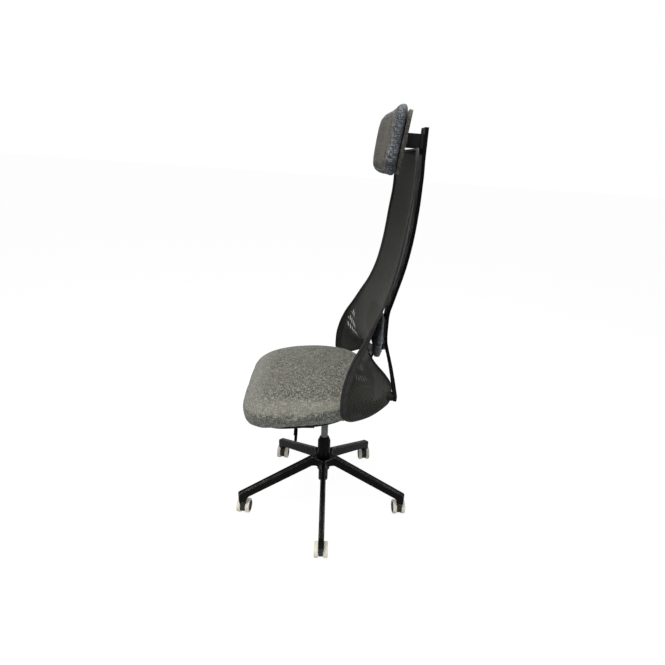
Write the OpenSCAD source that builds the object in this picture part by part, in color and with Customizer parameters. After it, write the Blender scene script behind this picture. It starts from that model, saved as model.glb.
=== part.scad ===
// Tall office chair with a one-piece mesh back, a forked spine and a five-leg base.
// The origin lies on the floor under the swivel axis. The sitter faces -Y, and +X is the sitter's left.
// The chair stands at its highest, with the headrest and the lumbar pad low.

/* [Casters] */
// Diameter of a wheel over its tyre
wheel_d = 54; // [46:1:62]
// Width of one tyre
tyre_w = 15; // [12:0.5:18]
// Thickness of the tyre ring
tyre_t = 6; // [4:0.5:8]
// Space between the two wheels of a caster
wheel_gap = 17; // [16:0.5:20]
// Distance from the stem to the axle, seen from above
caster_trail = 18; // [16:0.5:22]
// Diameter of the stem
stem_d = 10; // [8:0.5:11]
// Diameter of the wheel axle
axle_d = 8; // [6:0.5:10]

/* [Star base] */
// Distance from the swivel axis to each stem
stem_circle_r = 311; // [270:1:340]
// Width of a leg
leg_w = 19.5; // [16:0.5:24]
// Bevel along the top edges of a leg
leg_bevel = 3; // [1:0.5:5]
// Length of the upright end of a leg, along the leg
leg_end_l = 26; // [20:1:32]
// Height of the upright end of a leg
leg_end_h = 46; // [42:1:56]
// Rise of a leg from its end to the hub
leg_rise = 104; // [80:1:120]
// Upright depth of a leg at the hub
leg_hub_h = 39; // [34:1:50]
// Upright depth of a leg next to its end
leg_tip_h = 33.5; // [28:0.5:38]
// Radius of the hollow between two legs
leg_fillet_r = 27; // [22:1:30]
// Turn of the whole base about the swivel axis
base_turn = -1; // [-36:0.5:36]

/* [Gas lift] */
// Diameter of the outer tube above the hub
tube_d = 47; // [42:0.5:52]
// Diameter of the tube inside the hub
tube_low_d = 36; // [34:0.5:40]
// Height of the tube above the hub
tube_h = 80; // [60:1:100]
// Length of the tube from the hub's top down to its lower end
tube_low_l = 115; // [100:1:125]
// Diameter of the gas cylinder
cylinder_d = 26; // [24:0.5:28]
// Stroke of the gas lift
lift_stroke = 110; // [80:1:110]

/* [Tilt mechanism] */
// Width of the housing
housing_w = 150; // [140:1:170]
// Height of the housing
housing_h = 38; // [38:0.5:44]
// Reach of the housing in front of the swivel axis
housing_front = 118; // [114:1:130]
// Reach of the housing behind the swivel axis
housing_rear = 65; // [62:1:70]
// Wall thickness of the housing
housing_t = 2.5; // [2:0.5:4]
// Diameter of the tilt axle
tilt_axle_d = 12; // [10:0.5:14]
// Distance of the tilt axle behind the swivel axis
tilt_axle_y = 45; // [44:0.5:48]
// Diameter of the tension knob
knob_d = 46; // [36:1:56]
// Height of the tension knob
knob_h = 22; // [16:1:28]
// Length of a lever, out from its shaft
lever_l = 173; // [150:1:190]
// Slope of a lever, down from level
lever_slope = 9.5; // [6:0.5:14]
// Greatest turn of the height lever
lever_turn = 6; // [4:0.5:6]

/* [Seat] */
// Width of the seat cushion
seat_w = 520; // [480:1:560]
// Reach of the cushion in front of its widest line
seat_front = 188; // [170:1:210]
// Reach of the cushion behind its widest line
seat_rear = 245; // [225:1:260]
// Distance of the widest line in front of the swivel axis
seat_mid = 70; // [50:1:80]
// Slope of the seat, down to its front edge
seat_slope = 5.25; // [2:0.25:6]
// Thickness of the cushion without its crown
cushion_t = 106; // [90:1:112]
// Extra height of the crown at the middle of the cushion
cushion_crown = 16; // [6:1:20]
// Thickness of the seat pan
pan_t = 14; // [12:1:18]

/* [Spine] */
// Height of the spine from its feet to its top
spine_h = 749; // [690:1:790]
// Width of the spine above the fork
spine_w = 56; // [46:1:64]
// Thickness of the spine
spine_t = 10.5; // [8:0.5:12]
// How far the spine bows back behind its feet
spine_bow = 42.5; // [32:0.5:52]
// Distance of each foot from the middle
foot_x = 195; // [180:1:205]
// Width of each foot
foot_w = 32; // [26:1:38]
// Distance from the back of the cushion to the back of the feet
foot_gap = 38.5; // [36:0.5:48]

/* [Mesh back] */
// Width of the mesh back at its top
back_top_w = 352; // [320:1:400]
// Height of the mesh back from the feet to its top edge
back_h = 689; // [640:1:715]
// Gap at each side between the cushion and the wings
wing_gap = 5; // [3:0.5:9]
// Distance from the front edge of a wing to the feet
wing_depth = 170; // [160:1:185]
// Width of the rim around the mesh
rim_w = 12; // [9:0.5:14]
// Thickness of the rim
rim_t = 7; // [5:0.5:9]
// Thickness of the mesh cloth
mesh_t = 2.4; // [1.6:0.2:3]

/* [Lumbar support] */
// Width of the lumbar pad
lumbar_w = 300; // [240:1:320]
// Height of the lumbar pad
lumbar_h = 115; // [90:1:125]
// Thickness of the lumbar pad at its lower edge
lumbar_t = 36; // [26:1:38]
// Travel of the lumbar pad, up or down
lumbar_travel = 14; // [8:1:15]

/* [Headrest] */
// Width of the headrest
head_w = 318; // [280:1:350]
// Height of the headrest
head_h = 164; // [130:1:180]
// Thickness of the headrest pad
head_t = 43; // [34:1:50]
// How far the ends of the headrest curve forward
head_bend = 16; // [8:1:24]
// Upward travel of the headrest
head_travel = 30; // [20:1:34]

/* [Hidden] */

legs = 5;
$fn = 64;
// Overrun of a cut past the face that it opens
cut = 1;
// Clearance of a shaft that turns or slides, of a piece that is fixed, and of pieces that pass
run_fit = 0.05;
fixed_fit = 0.02;
pass_gap = 0.3;

// Caster
wheel_r = wheel_d / 2;
wheel_side_gap = 0.75;
fork_w = wheel_gap - 2 * wheel_side_gap;
fork_floor_gap = 4;
fork_neck_h = 6;
fork_top_z = wheel_d + fork_neck_h;
fork_block_w = stem_d + 8;
hood_proud = 3;
wheel_in_y = wheel_gap / 2;
wheel_out_y = wheel_in_y + tyre_w;
hub_r = wheel_r - tyre_t;
hub_inset = 1;
hub_cap_t = 2;
hub_recess = 2;
hub_boss_r = axle_d / 2 + 4;
hub_rim_t = 3;
axle_half_l = wheel_out_y - hub_inset - hub_cap_t - pass_gap;
tyre_round = 3;
stem_flange_t = 1.7;
stem_flange_r = stem_d / 2 + 3.5;
stem_below = 24;
stem_above = 34;
caster_turns = [178, 182, 184, 174, 172];

// Star base, from the stems up to the hub
leg_end_z = fork_top_z + pass_gap + stem_flange_t;
knee_z = leg_end_z + leg_end_h;
hub_top_z = knee_z + leg_rise;
knee_r = stem_circle_r + leg_end_l / 2;
knee_round = 16;
hub_peak_r = 50;
hub_boss_h = 23;
hub_boss_t = 6;
dish_r = 31;
dish_rise_w = 14;
dish_depth = 10;
tip_fillet = 8;
spoke_turn = 360 / legs;
half_spoke = spoke_turn / 2;
fillet_sink = 0.3;
fillet_d = (leg_w / 2 - fillet_sink + leg_fillet_r) / sin(half_spoke);
leg_slope = atan(leg_rise / (stem_circle_r - hub_peak_r));
leg_inner_r = knee_r - leg_end_l;
dish_z = hub_top_z - dish_depth;
hub_low_z = hub_top_z - leg_hub_h;

// Gas lift, from the hub up
tube_r = tube_d / 2;
tube_low_r = tube_low_d / 2;
bush_t = 2;
tube_bore_r = cylinder_d / 2 + bush_t + fixed_fit;
tube_top_z = hub_top_z + tube_h;
tube_low_z = hub_top_z - tube_low_l;
tube_floor_t = 4;
tube_neck = 7;
tube_neck_h = 17;
bush_l = 100;
rod_r = 5;
rod_clip_t = 2.2;
rod_clip_r = 8;
rod_tail = 1;
bearing_t = 5;
bearing_r = tube_bore_r - 2.5;
collar_t = 3;
collar_r = 9;
cylinder_r = cylinder_d / 2;
cylinder_wall = 2.5;
cylinder_plug = 8;
piston_t = 9;
pin_r = 4;
pin_proud = 3.5;
pin_l = 16;
pin_travel = 3.2;

// Tilt mechanism, hung from the top of the gas cylinder
lift_top_gap = 4;
mech_z = tube_top_z + lift_stroke + lift_top_gap;
cylinder_top_z = mech_z + 22;
rod_floor_z = tube_low_z + tube_floor_t;
collar_z = rod_floor_z + 2 * pass_gap + bearing_t;
rod_low_z = tube_low_z - 2 * pass_gap - rod_clip_t - rod_tail;
cylinder_low_z = collar_z + collar_t + lift_stroke + 3 * pass_gap;
piston_z = cylinder_low_z + cylinder_plug + pass_gap;
pin_hole_z = cylinder_top_z + pin_proud - pin_l - pin_travel - pass_gap;
housing_top_z = mech_z + housing_h;
socket_r = cylinder_r + 5.5;
socket_h = 18;
tilt_axle_z = mech_z + 20;
axle_boss_r = tilt_axle_d / 2 + 5;
axle_boss_l = 14;
lever_shaft_r = 3;
lever_shaft_x = 30;
lever_shaft_z = cylinder_top_z + pin_proud + lever_shaft_r;
lever_y = 100;
lever_r = 3.5;
lever_post_t = 5;
lever_post_w = 10;
lever_post_rear_y = 12;
lever_post_front_y = 92;
lever_slot_w = 2 * lever_r + 5;
lever_slot_h = 30;
lever_wall_z = lever_shaft_z - (housing_w / 2 - lever_shaft_x) * tan(lever_slope);
tongue_w = 12;
tongue_t = 5.4;
tongue_tip = 3;
paddle_l = 58;
paddle_w = 9;
paddle_t = 6;
spring_r = tilt_axle_d / 2 + 8;
spring_clear = 1;
spring_half_l = 45;
spring_leg_x = cylinder_r + 9;
spring_wire_r = 1.75;
spring_leg_z = mech_z + 12;
spring_leg_in = sqrt(pow(spring_r - spring_wire_r, 2) - pow(tilt_axle_z - spring_leg_z, 2));
knob_y = 85;
knob_screw_r = 4;
knob_gap = 1.5;
knob_top_z = mech_z - knob_gap;
knob_grips = 12;
knob_grip_r = 3;

// Seat carrier and yoke
carrier_t = 4;
carrier_gap = 16;
carrier_low_z = housing_top_z + carrier_gap;
carrier_top_z = carrier_low_z + carrier_t;
carrier_side = 40;
carrier_clear = 3.5;
window_x = housing_w / 2 + carrier_clear;
carrier_half = window_x + carrier_side;
tilt_axle_half_l = window_x + carrier_t + 1.5;
window_front = housing_front + 10;
window_rear = housing_rear + 5;
carrier_front = window_front + 17;
carrier_rear = window_rear + 38;
carrier_lip = 7.5;
ear_r = tilt_axle_d / 2 + 7;
yoke_t = 8;
yoke_plate_t = 10;
yoke_front_w = 190;
yoke_bar_l = 30;
yoke_arm_w = 34;
yoke_y = window_rear + 5;
yoke_gap = 22;
yoke_out_margin = 4;
yoke_bend_l = 10;
yoke_notch_x = 45;
yoke_notch_l = 6;
// Path of the yoke seen from the side, in shares of its reach and of its rise to the feet
yoke_path_shares = [[0, 0], [0.14, 0], [0.28, 0], [0.42, 0], [0.495, 0.012], [0.566, 0.076],
    [0.646, 0.203], [0.734, 0.347], [0.823, 0.482], [0.911, 0.625], [0.965, 0.736],
    [0.991, 0.823], [1, 0.912], [1, 1]];

// Seat
pan_share = 0.76;
pan_low_z = carrier_top_z;
pan_top_z = pan_low_z + pan_t;
cushion_low_z = pan_top_z + pass_gap;
cushion_mid_share = 0.44;
front_power = 4;
rear_power = 2.6;
top_power = 3.2;
low_power = 3.1;
cushion_rear_dip = 16;
cushion_front_dip = 20;
cushion_front_drop = 14;
seat_rear_y = seat_rear - seat_mid;
seat_points = 60;
cushion_low_shares = [0.3, 0.8, 0.92, 0.97, 0.99, 0.998];
cushion_top_shares = [1, 0.997, 0.985, 0.96, 0.925, 0.87, 0.79, 0.68, 0.54, 0.38, 0.2, 0.06];
screw_r = 3;
screw_head_r = 5.5;
screw_head_t = 3;
screw_l = 11;
arm_hole_r = 3.4;
arm_hole_depth = 9;
arm_hole_pitch = 50;
arm_hole_x = 155;
arm_boss_w = 66;
arm_boss_drop = 6;
arm_hole_y = seat_mid;
arm_boss_z = sloped(-arm_hole_y, pan_low_z)[1] - arm_boss_drop;
rail_x = window_x + carrier_side / 2;
seat_screw_places = [for (x = [-rail_x, rail_x]) for (y = [-0.8 * carrier_front, 0.6 * carrier_rear])
    [x, y]];
yoke_screw_places = [for (s = [-0.42, -0.2, 0.2, 0.42]) [s * yoke_front_w, yoke_y + yoke_bar_l / 2]];

// Spine, from its feet up
foot_y = seat_rear_y + foot_gap;
foot_rise = 84.6;
foot_z = cushion_low_z + foot_rise;
foot_h = 18;
spine_top_z = foot_z + spine_h;
foot_screw_z = foot_z + 10;
foot_screw_head_r = 6.5;
foot_screw_head_t = 3;
yoke_face_y = foot_y - spine_t - yoke_gap;
yoke_start = sloped(yoke_y, carrier_low_z - yoke_t / 2);
yoke_reach = yoke_face_y + pass_gap - yoke_t / 2 - yoke_start[0];
yoke_rise = foot_z + 0.8 * foot_h - yoke_start[1] - yoke_reach * tan(seat_slope);
yoke_out_x = foot_x + yoke_out_margin;
yoke_in_x = yoke_out_x - yoke_arm_w;
spine_steps = 36;

// Height shares of the spine with the bow of its back face at each
spine_bow_shares = [[0, 0], [0.045, 0], [0.065, -0.01], [0.103, -0.13], [0.1365, -0.268],
    [0.165, -0.38], [0.183, -0.412], [0.29, -0.412], [0.317, -0.292], [0.3565, -0.108],
    [0.392, 0.06], [0.457, 0.356], [0.524, 0.604], [0.6054, 0.812], [0.666, 0.908],
    [0.756, 0.988], [0.837, 1.004], [0.904, 0.964], [1, 0.964]];
// Outer edge of one fork leg: width shares past the blade towards the foot, and height shares
fork_outer_shares = [[1, 0], [1, 0.02], [0.93, 0.032], [0.8, 0.0435], [0.53, 0.069],
    [0.25, 0.109], [0.08, 0.147], [0.018, 0.182], [0, 0.215]];
// Inner edge of one fork leg, from the foot to the crotch: shares of the foot's inner edge
fork_inner_shares = [[1, 0], [1, 0.012], [0.92, 0.027], [0.72, 0.043], [0.487, 0.066],
    [0.322, 0.09], [0.19, 0.113], [0.08, 0.1255], [0, 0.1285]];
head_slot_share = 0.9323;
lumbar_slot_share = 0.2369;
slot_w = 8;
head_lug_h = 14;
lumbar_lug_h = 20;
clip_w = 44;
clip_h = 14;

// Mesh back, in height shares from the feet to the top edge
wing_half = seat_w / 2 + wing_gap;
wing_front_y = foot_y - wing_depth;
back_low_z = foot_z;
// Half width, from the top width at 0 to the wings at 1
back_width_shares = [[-0.067, 1], [-0.005, 1], [0.054, 0.955], [0.127, 0.85], [0.199, 0.7],
    [0.272, 0.53], [0.344, 0.36], [0.417, 0.195], [0.518, 0.06], [0.637, 0.03],
    [0.751, 0.06], [0.876, 0], [1, 0]];
// Lean of the side edges, as shares of the wing depth behind the wing's front edge
back_edge_shares = [[-0.067, 0.021], [-0.005, -0.005], [0.054, 0.002], [0.127, 0.058],
    [0.199, 0.163], [0.272, 0.326], [0.344, 0.474], [0.417, 0.621], [0.518, 0.753],
    [0.637, 0.842], [0.751, 0.895], [0.881, 0.942], [1, 0.932]];
// Lean of the middle line, in the same shares
back_middle_shares = [[-0.067, 1.1], [-0.018, 1.04], [0.012, 1.0235], [0.03, 1], [0.054, 0.86],
    [0.077, 0.7], [0.1, 0.605], [0.12, 0.56], [0.151, 0.53], [0.199, 0.518], [0.272, 0.595],
    [0.344, 0.695], [0.417, 0.805], [0.489, 0.89], [0.637, 0.969], [0.793, 1.021],
    [0.896, 1.032], [1, 1.027]];
// Roundness of a level section: 0.5 is a half ellipse, 1 a shallow arc, and less is boxier
back_round_shares = [[-0.067, 0.22], [0.028, 0.22], [0.054, 0.36], [0.1, 0.48], [0.151, 0.55],
    [0.275, 0.68], [0.43, 0.9], [0.586, 1], [1, 1]];
// Lower edge of the cloth, from the middle of the arch over the foot to the wing's corner
back_low_shares = [[0, 0.118], [0.12, 0.115], [0.18, 0.104], [0.24, 0.0892], [0.3, 0.0765],
    [0.36, 0.0665], [0.42, 0.0564], [0.48, 0.0433], [0.54, 0.028], [0.6, 0.0135], [0.66, 0.001],
    [0.7, -0.006], [0.736, -0.01], [0.78, -0.009], [0.82, -0.0065], [0.86, -0.0055],
    [0.9, -0.0074], [0.93, -0.0105], [0.96, -0.0173], [0.98, -0.0262], [0.99, -0.033],
    [0.996, -0.04], [0.999, -0.047], [1, -0.055]];
clip_y = wing_front_y + wing_depth * smooth_at(back_middle_shares, 1) + rim_t / 2 + pass_gap;
wing_corner_r = 22;
top_corner_r = 34;
// Columns of the cloth, in turn shares from the middle line to one side edge
half_columns_shares = [0, 0.07, 0.14, 0.21, 0.28, 0.3626, 0.44, 0.52, 0.6, 0.69, 0.77, 0.84,
    0.9, 0.94, 0.975, 1];
back_rows = 18;
row_power = 1.15;
rim_round_share = 0.55;
rim_sides = 8;

// Lumbar pad
lumbar_face_y = foot_y - spine_t + spine_bow * smooth_at(spine_bow_shares, lumbar_slot_share);
lumbar_plate_t = 6;
lumbar_plate_w = 90;
lumbar_plate_h = 50;
lumbar_bend = 18;
lumbar_top_t = 14;
lumbar_mid_z = foot_z + lumbar_slot_share * spine_h;
lumbar_low_z = lumbar_mid_z - 69;
lug_washer_r = 9;
lug_washer_t = 2;
pad_power = 6;
pad_rear_power = 5;
pad_front_power = 3.5;
pad_mid_share = 0.42;
pad_points = 40;
pad_rear_shares = [0.4, 0.9, 0.97, 0.995];
pad_front_shares = [1, 0.99, 0.965, 0.92, 0.85, 0.74, 0.58, 0.36, 0.12];

// Headrest
head_lean = 23;
head_shell_t = 10;
head_shell_share = 0.93;
head_mid_z = spine_top_z - 45;
head_face_y = foot_y + spine_bow * smooth_at(spine_bow_shares, 1) - spine_t;
head_stand = 70;
head_plate_h = 36;
head_plate_w = 52;
head_plate_t = 8;
head_arm_w = 34;
head_boss_w = 60;
head_boss_l = 9;
head_steps = 10;
head_plate_z = foot_z + back_h + rim_w / 2 + 2;

// Colours of the real pieces
black_coat = [0.06, 0.06, 0.065];
dark_plastic = [0.1, 0.1, 0.1];
bright_steel = [0.72, 0.72, 0.74];
tyre_white = [0.86, 0.85, 0.8];
melange_grey = [0.36, 0.37, 0.36];
blue_grey = [0.32, 0.36, 0.41];
mesh_grey = [0.17, 0.18, 0.16];
rim_grey = [0.27, 0.28, 0.26];

// Slope at point i of a table, level where the table turns or lies flat
function rise(t, i) = (t[i + 1][1] - t[i][1]) / (t[i + 1][0] - t[i][0]);
function slope_at(t, i) =
    i == 0 ? rise(t, 0) :
    i == len(t) - 1 ? rise(t, i - 1) :
    let (a = rise(t, i - 1), b = rise(t, i)) a * b <= 0 ? 0 : 2 * a * b / (a + b);
// Index of the last table row at or below x
function row_of(t, x, i = 0) = i >= len(t) - 2 || x < t[i + 1][0] ? i : row_of(t, x, i + 1);
// Smooth value of a table at x, which never overshoots its rows
function smooth_at(t, x) =
    let (i = row_of(t, x), w = t[i + 1][0] - t[i][0], s = (x - t[i][0]) / w,
         a = slope_at(t, i) * w, b = slope_at(t, i + 1) * w)
    t[i][1] * (1 - s) * (1 - s) * (1 + 2 * s) + t[i + 1][1] * s * s * (3 - 2 * s)
        + a * s * (1 - s) * (1 - s) - b * s * s * (1 - s);
// Points of a smooth path through the rows of p, with n steps between two rows
function path_point(p, i, s) =
    let (a = p[max(i - 1, 0)], b = p[i], c = p[i + 1], d = p[min(i + 2, len(p) - 1)])
    0.5 * (2 * b + (c - a) * s + (2 * a - 5 * b + 4 * c - d) * s * s
        + (3 * b - a - 3 * c + d) * s * s * s);
function smooth_path(p, n) =
    concat([for (i = [0:len(p) - 2]) for (k = [0:n - 1]) path_point(p, i, k / n)], [p[len(p) - 1]]);
function arc(c, r, from, to, n) =
    [for (k = [0:n]) let (a = from + (to - from) * k / n) [c[0] + r * cos(a), c[1] + r * sin(a)]];
function mix(a, b, s) = a + (b - a) * s;
function signed_power(x, p) = sign(x) * pow(abs(x), p);
function reversed(p) = [for (i = [len(p) - 1:-1:0]) p[i]];
// An outline given by its +X half
function mirrored(p) = concat(p, reversed([for (q = p) [-q[0], q[1]]]));
function unit(v) = v / norm(v);
// Place of the point y, z of the sloped seat, seen from the side
function sloped(y, z) = [
    tilt_axle_y + (y - tilt_axle_y) * cos(seat_slope) - (z - tilt_axle_z) * sin(seat_slope),
    tilt_axle_z + (y - tilt_axle_y) * sin(seat_slope) + (z - tilt_axle_z) * cos(seat_slope)];

// Skin over rings of equal length, closed at both ends
module skin(rings) {
    n = len(rings[0]);
    m = len(rings);
    points = [for (r = rings) for (p = r) p];
    sides = [for (i = [0:m - 2]) for (k = [0:n - 1]) for (h = [0, 1])
        h == 0 ? [i * n + k, (i + 1) * n + k, (i + 1) * n + (k + 1) % n]
               : [i * n + k, (i + 1) * n + (k + 1) % n, i * n + (k + 1) % n]];
    low = [for (k = [1:n - 2]) [0, k, k + 1]];
    high = [for (k = [1:n - 2]) [(m - 1) * n, (m - 1) * n + k + 1, (m - 1) * n + k]];
    polyhedron(points = points, faces = concat(sides, low, high), convexity = 6);
}

module at_leg(i) rotate([0, 0, base_turn + (i - 1) * spoke_turn]) translate([stem_circle_r, 0, 0])
    children();
module at_caster(i) at_leg(i)
    rotate([0, 0, caster_turns[i - 1] - base_turn - (i - 1) * spoke_turn]) children();
// Pieces of the sloped seat, turned about the tilt axle
module on_slope() translate([0, tilt_axle_y, tilt_axle_z]) rotate([seat_slope, 0, 0])
    translate([0, -tilt_axle_y, -tilt_axle_z]) children();
module rod_y(r, from, to) translate([0, from, 0]) rotate([-90, 0, 0]) cylinder(h = to - from, r = r);
module rod_x(r, from, to) translate([from, 0, 0]) rotate([0, 90, 0]) cylinder(h = to - from, r = r);
module ring(outer, inner, z, h) translate([0, 0, z]) difference() {
    cylinder(h = h, r = outer);
    translate([0, 0, -cut]) cylinder(h = h + 2 * cut, r = inner);
}
module both_sides() {
    children();
    mirror([1, 0, 0]) children();
}

// Casters
module caster_stems() color(bright_steel) for (i = [1:legs]) at_leg(i) {
    translate([0, 0, leg_end_z - stem_below]) cylinder(h = stem_below + stem_above, r = stem_d / 2);
    translate([0, 0, leg_end_z - stem_flange_t]) cylinder(h = stem_flange_t, r = stem_flange_r);
}

module caster_fork(i) color(dark_plastic) at_caster(i) difference() {
    translate([0, fork_w / 2, 0]) rotate([90, 0, 0]) linear_extrude(fork_w) {
        translate([caster_trail, wheel_r]) circle(r = wheel_r - fork_floor_gap);
        intersection() {
            translate([caster_trail, wheel_r]) circle(r = wheel_r + hood_proud);
            translate([caster_trail - 2 * wheel_r, wheel_r]) square([4 * wheel_r, 2 * wheel_r]);
        }
        translate([-fork_block_w / 2, wheel_r + fork_floor_gap])
            square([fork_block_w, fork_top_z - wheel_r - fork_floor_gap]);
    }
    translate([0, 0, leg_end_z - stem_below - pass_gap])
        cylinder(h = stem_below + cut, r = stem_d / 2 + run_fit);
    translate([caster_trail, 0, wheel_r]) rod_y(axle_d / 2 + fixed_fit, -fork_w, fork_w);
}

module caster_axle(i) color(bright_steel) at_caster(i) translate([caster_trail, 0, wheel_r])
    rod_y(axle_d / 2, -axle_half_l, axle_half_l);

// Hub of the wheel on the +Y side of a caster, about its own axle
module hub() difference() {
    union() {
        rod_y(hub_r, wheel_in_y + hub_inset, wheel_out_y - hub_inset);
        rod_y(hub_boss_r, fork_w / 2 + pass_gap, wheel_out_y - hub_inset);
    }
    difference() {
        rod_y(hub_r - hub_rim_t, wheel_out_y - hub_inset - hub_recess, wheel_out_y);
        rod_y(hub_boss_r, 0, wheel_out_y);
    }
    rod_y(axle_d / 2 + run_fit, 0, wheel_out_y - hub_inset - hub_cap_t);
}

module tyre() translate([0, wheel_out_y, 0]) rotate([90, 0, 0]) rotate_extrude() {
    translate([hub_r + fixed_fit, 0]) square([tyre_t - tyre_round - fixed_fit, tyre_w]);
    translate([hub_r + fixed_fit, tyre_round])
        square([tyre_t - fixed_fit, tyre_w - 2 * tyre_round]);
    for (y = [tyre_round, tyre_w - tyre_round])
        translate([wheel_r - tyre_round, y]) circle(r = tyre_round);
}

module on_axle(i, side) at_caster(i) translate([caster_trail, 0, wheel_r])
    mirror([0, side, 0]) children();
module left_hub(i) color(dark_plastic) on_axle(i, 0) hub();
module right_hub(i) color(dark_plastic) on_axle(i, 1) hub();
module left_tyre(i) color(tyre_white) on_axle(i, 0) tyre();
module right_tyre(i) color(tyre_white) on_axle(i, 1) tyre();

// Star base
function leg_top(r) = hub_top_z - (r - hub_peak_r) * tan(leg_slope);
leg_under_z = leg_top(leg_inner_r) - leg_tip_h;
under_slope = atan((hub_low_z - leg_under_z) / (leg_inner_r - hub_peak_r));
function leg_under(r) = hub_low_z - (r - hub_peak_r) * tan(under_slope);
knee_x = knee_r - knee_round;
knee_c = [knee_x, leg_top(knee_x) - knee_round / cos(leg_slope)];
tip_x = leg_inner_r - tip_fillet;
tip_c = [tip_x, leg_under(tip_x) - tip_fillet / cos(under_slope)];

module leg() difference() {
    translate([0, leg_w / 2, 0]) rotate([90, 0, 0]) linear_extrude(leg_w) polygon(concat(
        [[0, leg_under(0)]],
        arc(tip_c, tip_fillet, 90 - under_slope, 0, 6),
        [[leg_inner_r, leg_end_z], [knee_r, leg_end_z]],
        arc(knee_c, knee_round, 0, 90 - leg_slope, 8),
        [[0, leg_top(0)]]));
    for (side = [-1, 1]) translate([hub_peak_r, side * leg_w / 2, hub_top_z])
        rotate([0, leg_slope, 0]) rotate([45, 0, 0])
            translate([0, -leg_bevel / sqrt(2), -leg_bevel / sqrt(2)])
                cube([2 * stem_circle_r, leg_bevel * sqrt(2), leg_bevel * sqrt(2)]);
}

// Hub seen from above: the hollows between the legs start just inside the legs
module hub_plan() polygon([for (i = [0:legs - 1]) let (a = half_spoke + i * spoke_turn)
    each arc(fillet_d * [cos(a), sin(a)], leg_fillet_r, a - 90 - half_spoke, a - 270 + half_spoke, 9)]);

// Legs and hub cut level along the top
module star_body() difference() {
    union() {
        for (i = [0:legs - 1]) rotate([0, 0, i * spoke_turn]) leg();
        translate([0, 0, hub_low_z]) linear_extrude(2 * leg_hub_h) hub_plan();
    }
    translate([0, 0, hub_top_z]) cylinder(h = 2 * leg_hub_h, r = knee_r);
}

module star_base() color(black_coat) difference() {
    rotate([0, 0, base_turn]) union() {
        star_body();
        translate([0, 0, hub_low_z - hub_boss_h])
            cylinder(h = hub_boss_h + cut, r = tube_low_r + hub_boss_t);
    }
    rotate_extrude() polygon([[0, dish_z], [dish_r, dish_z], [dish_r + dish_rise_w, hub_top_z],
        [dish_r + dish_rise_w, hub_top_z + cut], [0, hub_top_z + cut]]);
    translate([0, 0, hub_low_z - hub_boss_h - cut])
        cylinder(h = hub_boss_h + leg_hub_h + cut, r = tube_low_r + fixed_fit);
    for (i = [1:legs]) at_leg(i) translate([0, 0, leg_end_z - cut])
        cylinder(h = stem_above + 2 * cut, r = stem_d / 2 + fixed_fit);
}

// Gas lift
module lift_tube() color(black_coat) rotate_extrude() polygon([
    [rod_r + run_fit, tube_low_z], [tube_low_r, tube_low_z], [tube_low_r, dish_z],
    [tube_r, dish_z], [tube_r, tube_top_z - tube_neck_h], [tube_r - tube_neck, tube_top_z],
    [tube_bore_r, tube_top_z], [tube_bore_r, rod_floor_z], [rod_r + run_fit, rod_floor_z]]);

module lift_bush() color(dark_plastic)
    ring(cylinder_r + bush_t, cylinder_r + run_fit, tube_top_z - bush_l, bush_l);

module lift_rod() color(bright_steel) {
    translate([0, 0, rod_low_z]) cylinder(h = piston_z + piston_t - rod_low_z, r = rod_r);
    translate([0, 0, collar_z]) cylinder(h = collar_t, r = collar_r);
    translate([0, 0, piston_z])
        cylinder(h = piston_t, r = cylinder_r - cylinder_wall - run_fit);
}

module rod_clip() color(bright_steel)
    ring(rod_clip_r, rod_r + fixed_fit, tube_low_z - pass_gap - rod_clip_t, rod_clip_t);

module thrust_bearing() color(bright_steel)
    ring(bearing_r, rod_r + fixed_fit, rod_floor_z + pass_gap, bearing_t);

module gas_cylinder() color(bright_steel) difference() {
    translate([0, 0, cylinder_low_z]) cylinder(h = cylinder_top_z - cylinder_low_z, r = cylinder_r);
    translate([0, 0, cylinder_low_z - cut]) cylinder(h = cylinder_plug + 2 * cut, r = rod_r + run_fit);
    translate([0, 0, cylinder_low_z + cylinder_plug])
        cylinder(h = pin_hole_z - cylinder_plug - cylinder_low_z - cylinder_plug,
            r = cylinder_r - cylinder_wall);
    translate([0, 0, pin_hole_z])
        cylinder(h = cylinder_top_z - pin_hole_z + cut, r = pin_r + run_fit);
}

module release_pin() color(bright_steel) translate([0, 0, cylinder_top_z + pin_proud - pin_l])
    cylinder(h = pin_l, r = pin_r);

// Tilt mechanism
module tilt_housing() color(black_coat) difference() {
    union() {
        difference() {
            translate([-housing_w / 2, -housing_front, mech_z])
                cube([housing_w, housing_front + housing_rear, housing_h]);
            translate([housing_t - housing_w / 2, housing_t - housing_front, mech_z + housing_t])
                cube([housing_w - 2 * housing_t, housing_front + housing_rear - 2 * housing_t,
                    housing_h]);
        }
        translate([0, 0, mech_z]) cylinder(h = socket_h, r = socket_r);
        both_sides() translate([0, tilt_axle_y, tilt_axle_z])
            rod_x(axle_boss_r, housing_w / 2 - axle_boss_l, housing_w / 2);
        for (side = [-1, 1]) for (y = [-lever_post_front_y, lever_post_rear_y])
            translate([side * lever_shaft_x - lever_post_w / 2, y, mech_z])
                cube([lever_post_w, lever_post_t, lever_shaft_z + lever_post_w / 2 - mech_z]);
    }
    translate([0, 0, mech_z - cut]) cylinder(h = socket_h + 2 * cut, r = cylinder_r + fixed_fit);
    translate([0, tilt_axle_y, tilt_axle_z])
        rod_x(tilt_axle_d / 2 + fixed_fit, -housing_w, housing_w);
    translate([0, -knob_y, mech_z - cut])
        cylinder(h = housing_t + 2 * cut, r = knob_screw_r + run_fit);
    for (side = [-1, 1]) {
        translate([side * lever_shaft_x, 0, lever_shaft_z])
            rod_y(lever_shaft_r + run_fit, -lever_post_front_y - cut,
                lever_post_rear_y + lever_post_t + cut);
        translate([side * housing_w / 2 - lever_slot_w, -lever_y - lever_slot_w / 2, lever_wall_z
            - lever_slot_w]) cube([2 * lever_slot_w, lever_slot_w, lever_slot_h]);
    }
}

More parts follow.
